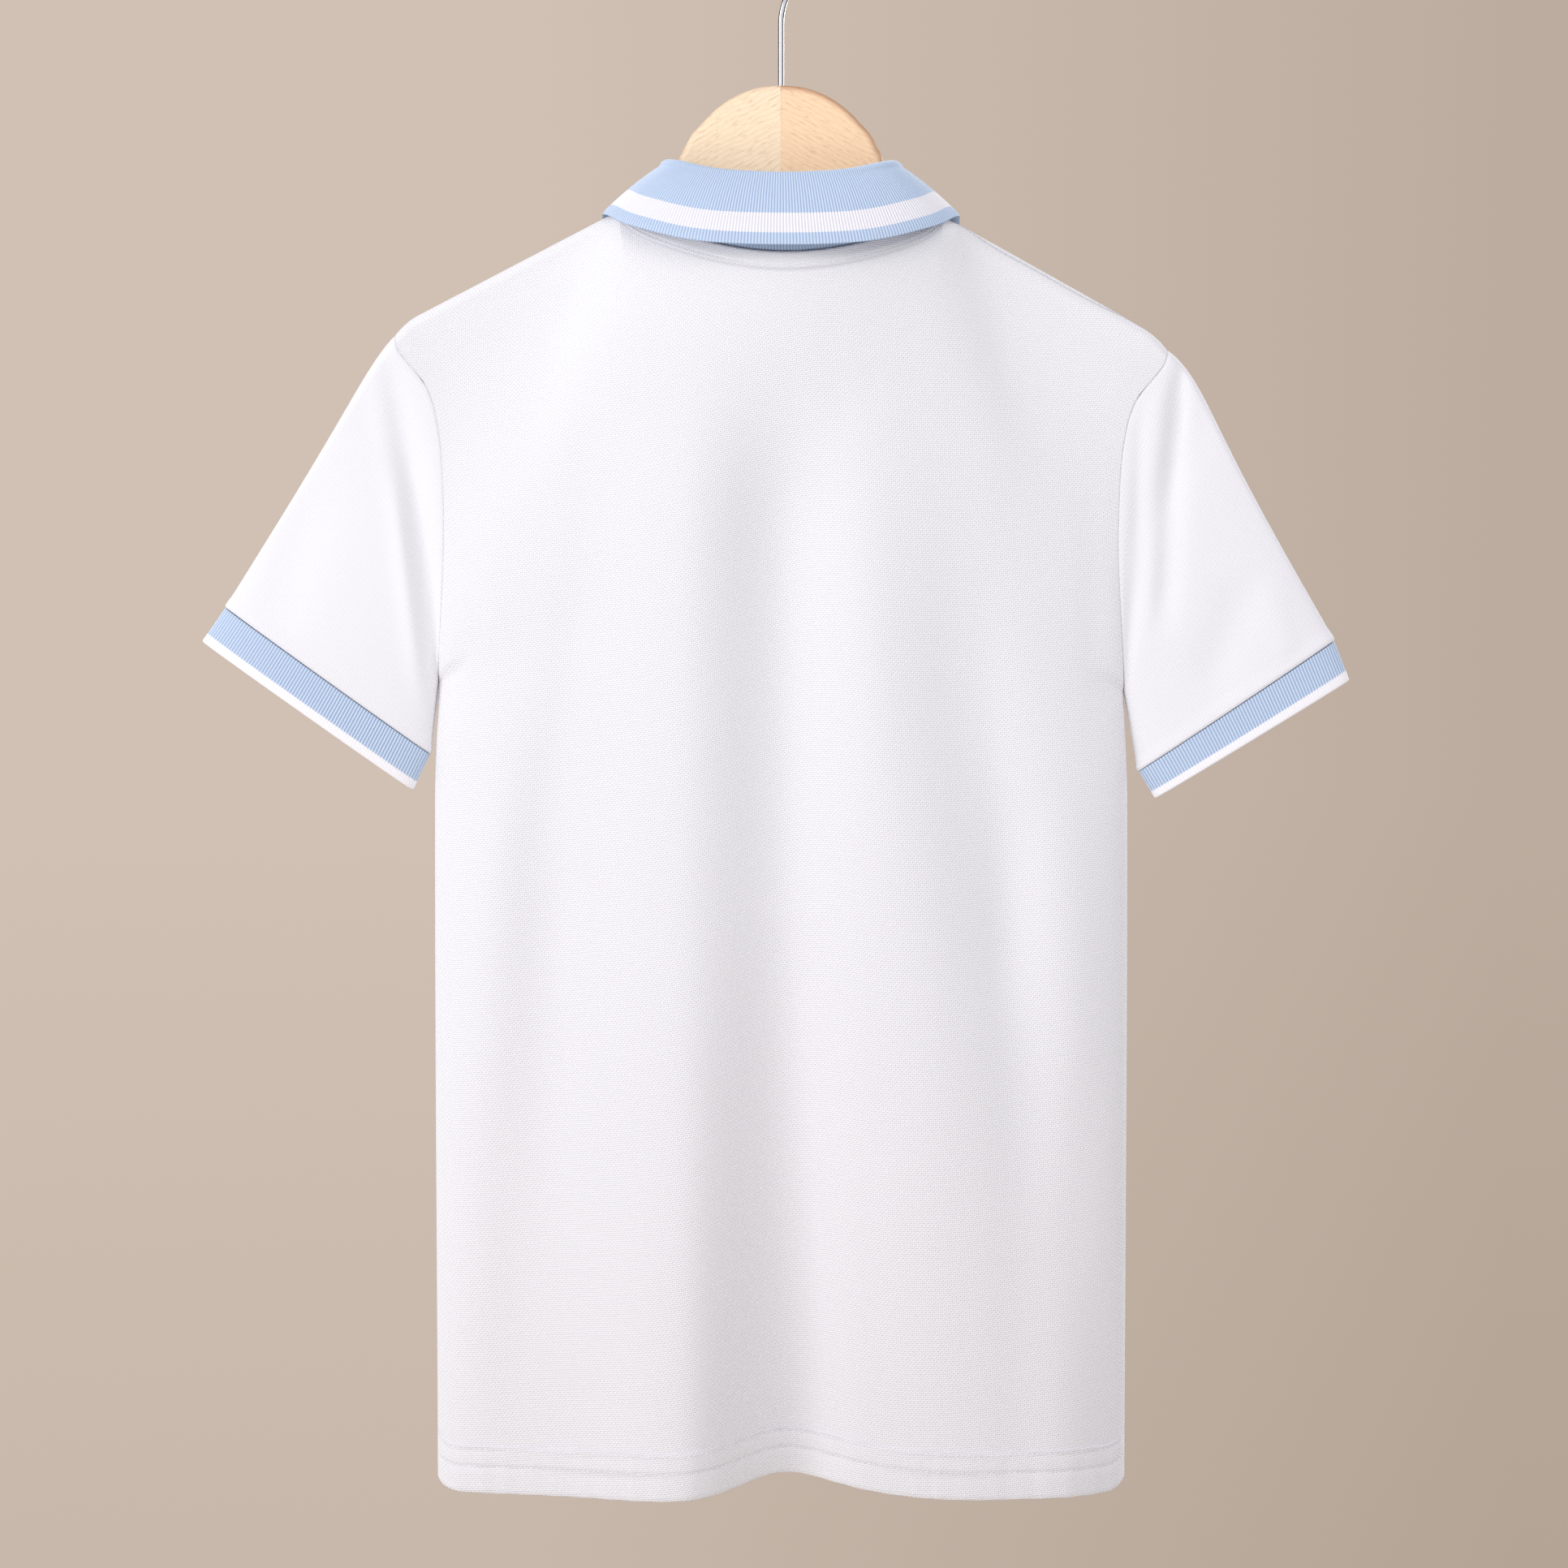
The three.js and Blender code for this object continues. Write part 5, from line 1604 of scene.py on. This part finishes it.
def lathe(name, profile, material, segments=48):
    """A turned piece round the z axis; its profile runs from the axis to the axis."""
    turn = even_angles(segments)
    radius, height = (column[:, None] for column in np.array(profile[1:-1]).T)
    upward = np.broadcast_to(height, (len(height), segments))
    rings = np.stack([radius * np.cos(turn), radius * np.sin(turn), upward], axis=-1)
    points = np.concatenate([rings.reshape(-1, 3), [[0, 0, profile[0][1]], [0, 0, profile[-1][1]]]])
    faces = grid_faces(len(radius), segments, round_columns=True).reshape(-1, 4).tolist()
    first, last = len(points) - 2, len(points) - 1
    top = (len(radius) - 1) * segments
    for i in range(segments):
        beside = (i + 1) % segments
        faces.append([first, i, beside])
        faces.append([last, top + beside, top + i])
    return new_mesh(name, points, faces, material)


def cut_with(piece, cutters):
    """Cuts tools out of a piece with exact booleans; only its four-sided faces stay smooth."""
    for cutter in cutters:
        modifier = piece.modifiers.new("cut", "BOOLEAN")
        modifier.operation = "DIFFERENCE"
        modifier.solver = "EXACT"
        modifier.object = cutter
    depsgraph = bpy.context.evaluated_depsgraph_get()
    mesh = bpy.data.meshes.new_from_object(piece.evaluated_get(depsgraph))
    piece.modifiers.clear()
    piece.data = mesh
    mesh.polygons.foreach_set("use_smooth", [len(face.vertices) == 4 for face in mesh.polygons])
    for cutter in cutters:
        bpy.data.objects.remove(cutter)


def make_button(name, travel):
    """A four-hole button with its crossed threads, laid on the placket."""
    profile = [(row["radius_share"] * BUTTON_RADIUS, row["height"]) for row in BUTTON_PROFILE]
    button = lathe(name, profile, shell)
    holes = []
    for i in range(4):
        angle = math.pi / 4 + i * math.pi / 2
        hole_profile = [(0, -1), (HOLE_RADIUS, -1), (HOLE_RADIUS, 4), (0, 4)]
        hole = lathe(f"{name}_hole_{i}", hole_profile, shell, segments=20)
        shift = Vector((HOLE_PLACE * math.cos(angle), HOLE_PLACE * math.sin(angle), 0)) * MM
        hole.data.transform(Matrix.Translation(shift))
        holes.append(hole)
    cut_with(button, holes)
    threads = []
    for turned in (45, 135):
        angle = math.radians(turned)
        along = np.linspace(-1, 1, 13)
        x, y = HOLE_PLACE * along * math.cos(angle), HOLE_PLACE * along * math.sin(angle)
        height = 1.72 + 0.5 * (1 - along**4) + (0.28 if turned == 135 else 0)
        height -= 0.9 * (np.abs(along) > 0.99)
        for offset in (-0.22, 0.22):
            shift = np.array([-math.sin(angle), math.cos(angle)]) * offset
            threads.append(np.stack([x + shift[0], y + shift[1], height], axis=-1))
    sewn = tube_pieces(f"{name}_thread", threads, BUTTON_THREAD, thread)
    level = travel / WRAP_TRAVEL - 1 if travel < WRAP_TRAVEL else level_of_travel(travel)
    out = 2 * SEAM_GAP + STRIP_WALL + 0.1
    place = off_panel("front", 0.0, level, out) * MM
    normal = panel_normal("front", 0.0, level)
    turned = Vector((0, 0, 1)).rotation_difference(Vector(normal)).to_matrix().to_4x4()
    for piece in (button, sewn):
        piece.data.transform(Matrix.Translation(Vector(place)) @ turned)
    return button, sewn


def round_section(tangent, side, segments):
    """Unit offsets round every point of a line."""
    other = np.cross(tangent, side)
    turn = even_angles(segments)[:, None]
    return np.cos(turn) * side[:, None] + np.sin(turn) * other[:, None]


def tube_pieces(name, lines, radius, material, segments=8):
    """Round cords along lines, closed at their ends, as one mesh."""
    points, faces, start = [], [], 0
    for line in lines:
        tangent = unit(np.gradient(line, axis=0))
        side = unit(np.cross(tangent, [0.013, 1.0, 0.021]))
        offsets = round_section(tangent, side, segments)
        points.append((line[:, None] + offsets * radius).reshape(-1, 3))
        faces += capped_faces(len(line), segments, start)
        start += len(line) * segments
    return new_mesh(name, np.concatenate(points), faces, material)


buttons = [make_button(f"button_{i + 1}_shell", travel) for i, travel in enumerate(BUTTON_TRAVELS)]


# Hanger


def arm_top(x):
    """Top of the wood, just under the cloth."""
    return ridge_height(x) - CLOTH_WALL - 0.5


def hanger_outline(side):
    """The outline of one half of the wood, from the top of the joint round to its foot."""
    yoke = [(JOINT_HALF_GAP, WOOD_TOP)] + YOKE_TOP + YOKE_SIDE
    arm = [(x, arm_top(side * x)) for x in (92, 110, 140, 165, ARM_END - 6)]
    top = arm_top(side * ARM_END)
    low = top - ARM_HEIGHT
    end = [(ARM_END, top - 7), (ARM_END, low + 8), (ARM_END - 7, low)]
    below = [(x, arm_top(side * x) - ARM_HEIGHT) for x in (160, 122, 84)]
    return yoke + arm + end + below + YOKE_FOOT


def smooth_outline(points, step=1.5):
    """An even line through the points, round where they turn softly."""
    points = np.array(points, float)
    dense = []
    for i in range(len(points) - 1):
        before, after = points[max(i - 1, 0)], points[min(i + 2, len(points) - 1)]
        here, there = points[i], points[i + 1]
        count = max(2, int(np.linalg.norm(there - here) / step))
        t = np.linspace(0, 1, count, endpoint=False)[:, None]
        start, leave, end, arrive = curve_shares(t)
        slopes = leave * (there - before) / 2 + arrive * (after - here) / 2
        dense.append(start * here + end * there + slopes)
    return np.concatenate(dense + [points[-1:]])


def make_hanger_half(name, side, material):
    """Half of the yoke and one arm: flat faces with rounded edges, and a flat glued joint."""
    line = smooth_outline(hanger_outline(side))
    closed = np.concatenate([line, line[:1]])
    middle = (closed[1:] + closed[:-1]) / 2
    tangent = unit(np.roll(line, -1, axis=0) - np.roll(line, 1, axis=0))
    outward = np.stack([-tangent[:, 1], tangent[:, 0]], axis=-1)
    if np.mean(np.sum(outward * (line - middle.mean(axis=0)), axis=-1)) < 0:
        outward = -outward
    outward[[0, -1], 0] = 0
    outward = unit(outward)
    rings, rounding = [], []
    flat = WOOD_THICKNESS / 2 - WOOD_ROUNDING
    for face, turns in ((1, np.linspace(90, 0, 8)), (-1, np.linspace(0, -90, 8))):
        for a in np.radians(turns):
            place = line - outward * WOOD_ROUNDING * (1 - math.cos(a))
            depth = np.full(len(line), face * flat + WOOD_ROUNDING * math.sin(a))
            rings.append(np.stack([side * place[:, 0], depth, place[:, 1]], axis=-1))
            rounding.append(np.full(len(line), math.cos(a)))
    points = np.concatenate(rings)
    faces = capped_faces(len(rings), len(line))
    # The band attribute, 1 where the rounding faces sideways, sets where the painted edge shade
    # falls
    half = new_mesh(name, points, faces, material, band=np.concatenate(rounding))
    bore_radius = WIRE / 2 + BORE_GAP
    bore_profile = [(0, -BORE_DEPTH), (bore_radius, -BORE_DEPTH), (bore_radius, 30), (0, 30)]
    bore = lathe(name + "_bore", bore_profile, material)
    bore.data.transform(Matrix.Translation(Vector((0, 0, WOOD_TOP * MM))))
    cut_with(half, [bore])
    return half


def hook_line():
    """Middle line of the hook: straight stem, a bend to the right, then round over the rail."""
    curl = HOOK_INNER + WIRE / 2
    bend = curl * math.cos(HOOK_LEAN) / (1 - math.cos(HOOK_LEAN))
    bend_start = -HOOK_INNER - (curl + bend) * math.sin(HOOK_LEAN)
    foot = WOOD_TOP - HOOK_IN_WOOD
    stem = np.stack([np.zeros(24), np.linspace(foot, bend_start, 24, endpoint=False)], axis=-1)
    turn = np.linspace(0, HOOK_LEAN, 24, endpoint=False)
    leaning = np.stack([-bend * (1 - np.cos(turn)), bend_start + bend * np.sin(turn)], axis=-1)
    angle = np.linspace(math.pi + HOOK_LEAN, -HOOK_TIP, 110)
    curve = np.stack([curl * np.cos(angle), -HOOK_INNER + curl * np.sin(angle)], axis=-1)
    line = np.concatenate([stem, leaning, curve])
    return np.stack([line[:, 0], np.zeros(len(line)), line[:, 1]], axis=-1)


def make_hook():
    """A bent round wire with a rounded tip."""
    line = hook_line()
    radius = WIRE / 2
    direction = unit(line[-1] - line[-2])
    tip_turns = np.radians([15, 35, 55, 72, 84])
    tip = [line[-1] + direction * radius * math.sin(a) for a in tip_turns]
    line = np.concatenate([line, tip])
    scale = np.concatenate([np.ones(len(line) - len(tip)), np.cos(tip_turns)])
    segments = 24
    tangent = unit(np.gradient(line, axis=0))
    side = np.broadcast_to(np.array([0.0, 1.0, 0.0]), line.shape)
    offsets = round_section(tangent, side, segments)
    points = line[:, None] + offsets * (radius * scale)[:, None, None]
    faces = capped_faces(len(line), segments)
    return new_mesh("steel_hook", points.reshape(-1, 3), faces, steel)


# The right half's edges face away from the key light and get the stronger painted shade
wood_left = wood_material("beech_left", LEFT_BEECH, slope=62, edge_shade=0.15)
wood_right = wood_material("beech_right", RIGHT_BEECH, slope=-62, edge_shade=0.75)
hanger_halves = {
    "left": make_hanger_half("beech_half_left", 1, wood_left),
    "right": make_hanger_half("beech_half_right", -1, wood_right),
}
hook = make_hook()


# What each piece stands for, and where it rides

PIECES = [
    (back_cloth, "white_cloth", ["back_panel"]),
    (front_cloth, "white_cloth", ["front_panel"]),
    (placket_under, "white_cloth", ["placket_under"]),
    (placket_upper, "white_cloth", ["placket_upper"]),
    (sleeve_cloths["left"], "white_cloth", ["sleeve_left"]),
    (sleeve_cloths["right"], "white_cloth", ["sleeve_right"]),
    (cuff_knits["left"], "blue_rib", ["cuff_left"]),
    (cuff_knits["right"], "blue_rib", ["cuff_right"]),
    (collar, "blue_rib", ["collar"]),
    (buttons[0][0], "button_shell", ["button_1"]),
    (buttons[0][1], "white_cloth", []),
    (buttons[1][0], "button_shell", ["button_2"]),
    (buttons[1][1], "white_cloth", []),
    (hem_stitches, "white_cloth", []),
    (neck_stitches, "white_cloth", []),
    (shoulder_stitches, "white_cloth", []),
    (placket_stitches, "white_cloth", []),
    (hanger_halves["left"], "pale_wood", ["hanger_half_left"]),
    (hanger_halves["right"], "pale_wood", ["hanger_half_right"]),
    (hook, "bright_steel", ["hanger_hook"]),
]
for piece, slot, nodes in PIECES:
    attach(piece, "root")
    if nodes:
        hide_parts(*nodes)


# Stage, camera and lights


def make_floor():
    """A pale round floor under the shirt, out of sight in the main view."""
    mesh = bpy.data.meshes.new("pale_floor")
    work = bmesh.new()
    bmesh.ops.create_circle(work, cap_ends=True, radius=FLOOR_RADIUS, segments=96)
    bmesh.ops.translate(work, verts=work.verts, vec=(0, 0, FLOOR_HEIGHT))
    work.to_mesh(mesh)
    work.free()
    material, _, _ = new_material("pale_floor", Roughness=0.9, Base_Color=(0.62, 0.54, 0.47, 1))
    mesh.materials.append(material)
    place_object("pale_floor", mesh)


def make_world():
    """Soft white light all round; a warm beige wall with painted light to the upper left."""
    world = bpy.data.worlds.new("studio")
    bpy.context.scene.world = world
    world.use_nodes = True
    t = Tree(world.node_tree)
    background = world.node_tree.nodes["Background"]
    where = t.node("ShaderNodeTexCoord")
    parts = t.node("ShaderNodeSeparateXYZ", {"Vector": where.outputs["Generated"]})
    # Painted light on the wall: lighter towards the left and towards the top
    across = t.math("MULTIPLY_ADD", parts.outputs["X"], 3.2, 0.72, clamp=True)
    up = t.math("MULTIPLY_ADD", parts.outputs["Z"], 4.2, 1.0, clamp=True)
    lower = t.blend(across, (0.455, 0.371, 0.305, 1), (0.578, 0.479, 0.407, 1))
    upper = t.blend(across, (0.503, 0.413, 0.347, 1), (0.638, 0.533, 0.456, 1))
    wall = t.blend(up, lower, upper)
    path = t.node("ShaderNodeLightPath")
    facing = t.math("MULTIPLY", t.math("SUBTRACT", parts.outputs["Y"], 0.5), 2.4, clamp=True)
    mirrored = t.blend(facing, (0.16, 0.16, 0.17, 1), (1.0, 1.0, 1.02, 1))
    leaning = t.math("MULTIPLY_ADD", parts.outputs["X"], 0.36, 1.0)
    soft = t.blend(1.0, (0.695, 0.682, 0.708, 1), leaning, mode="MULTIPLY")
    ambient = t.blend(path.outputs["Is Glossy Ray"], soft, mirrored)
    t.put(background.inputs["Color"], t.blend(path.outputs["Is Camera Ray"], ambient, wall))


def add_light(name, place, size, power):
    data = bpy.data.lights.new(name, "AREA")
    data.shape = "RECTANGLE"
    data.size, data.size_y = size
    data.energy = power
    light = place_object(name, data)
    light.location = place
    light.rotation_mode = "QUATERNION"
    light.rotation_quaternion = (Vector(LIGHT_TARGET) - Vector(place)).to_track_quat("-Z", "Y")


def make_camera():
    """Behind the shirt's back and level with the middle of the picture."""
    data = bpy.data.cameras.new("camera")
    data.sensor_width = SENSOR_MM
    data.lens = SENSOR_MM * CAMERA_DISTANCE / VIEW_WIDTH
    camera = place_object("camera", data)
    camera.location = (VIEW_MIDDLE[0], CAMERA_DISTANCE, VIEW_MIDDLE[1])
    camera.rotation_euler = (math.pi / 2, 0, math.pi)
    bpy.context.scene.camera = camera


make_floor()
make_world()
for light in LIGHTS:
    add_light(**light)
make_camera()
bpy.context.scene.view_settings.view_transform = "Standard"
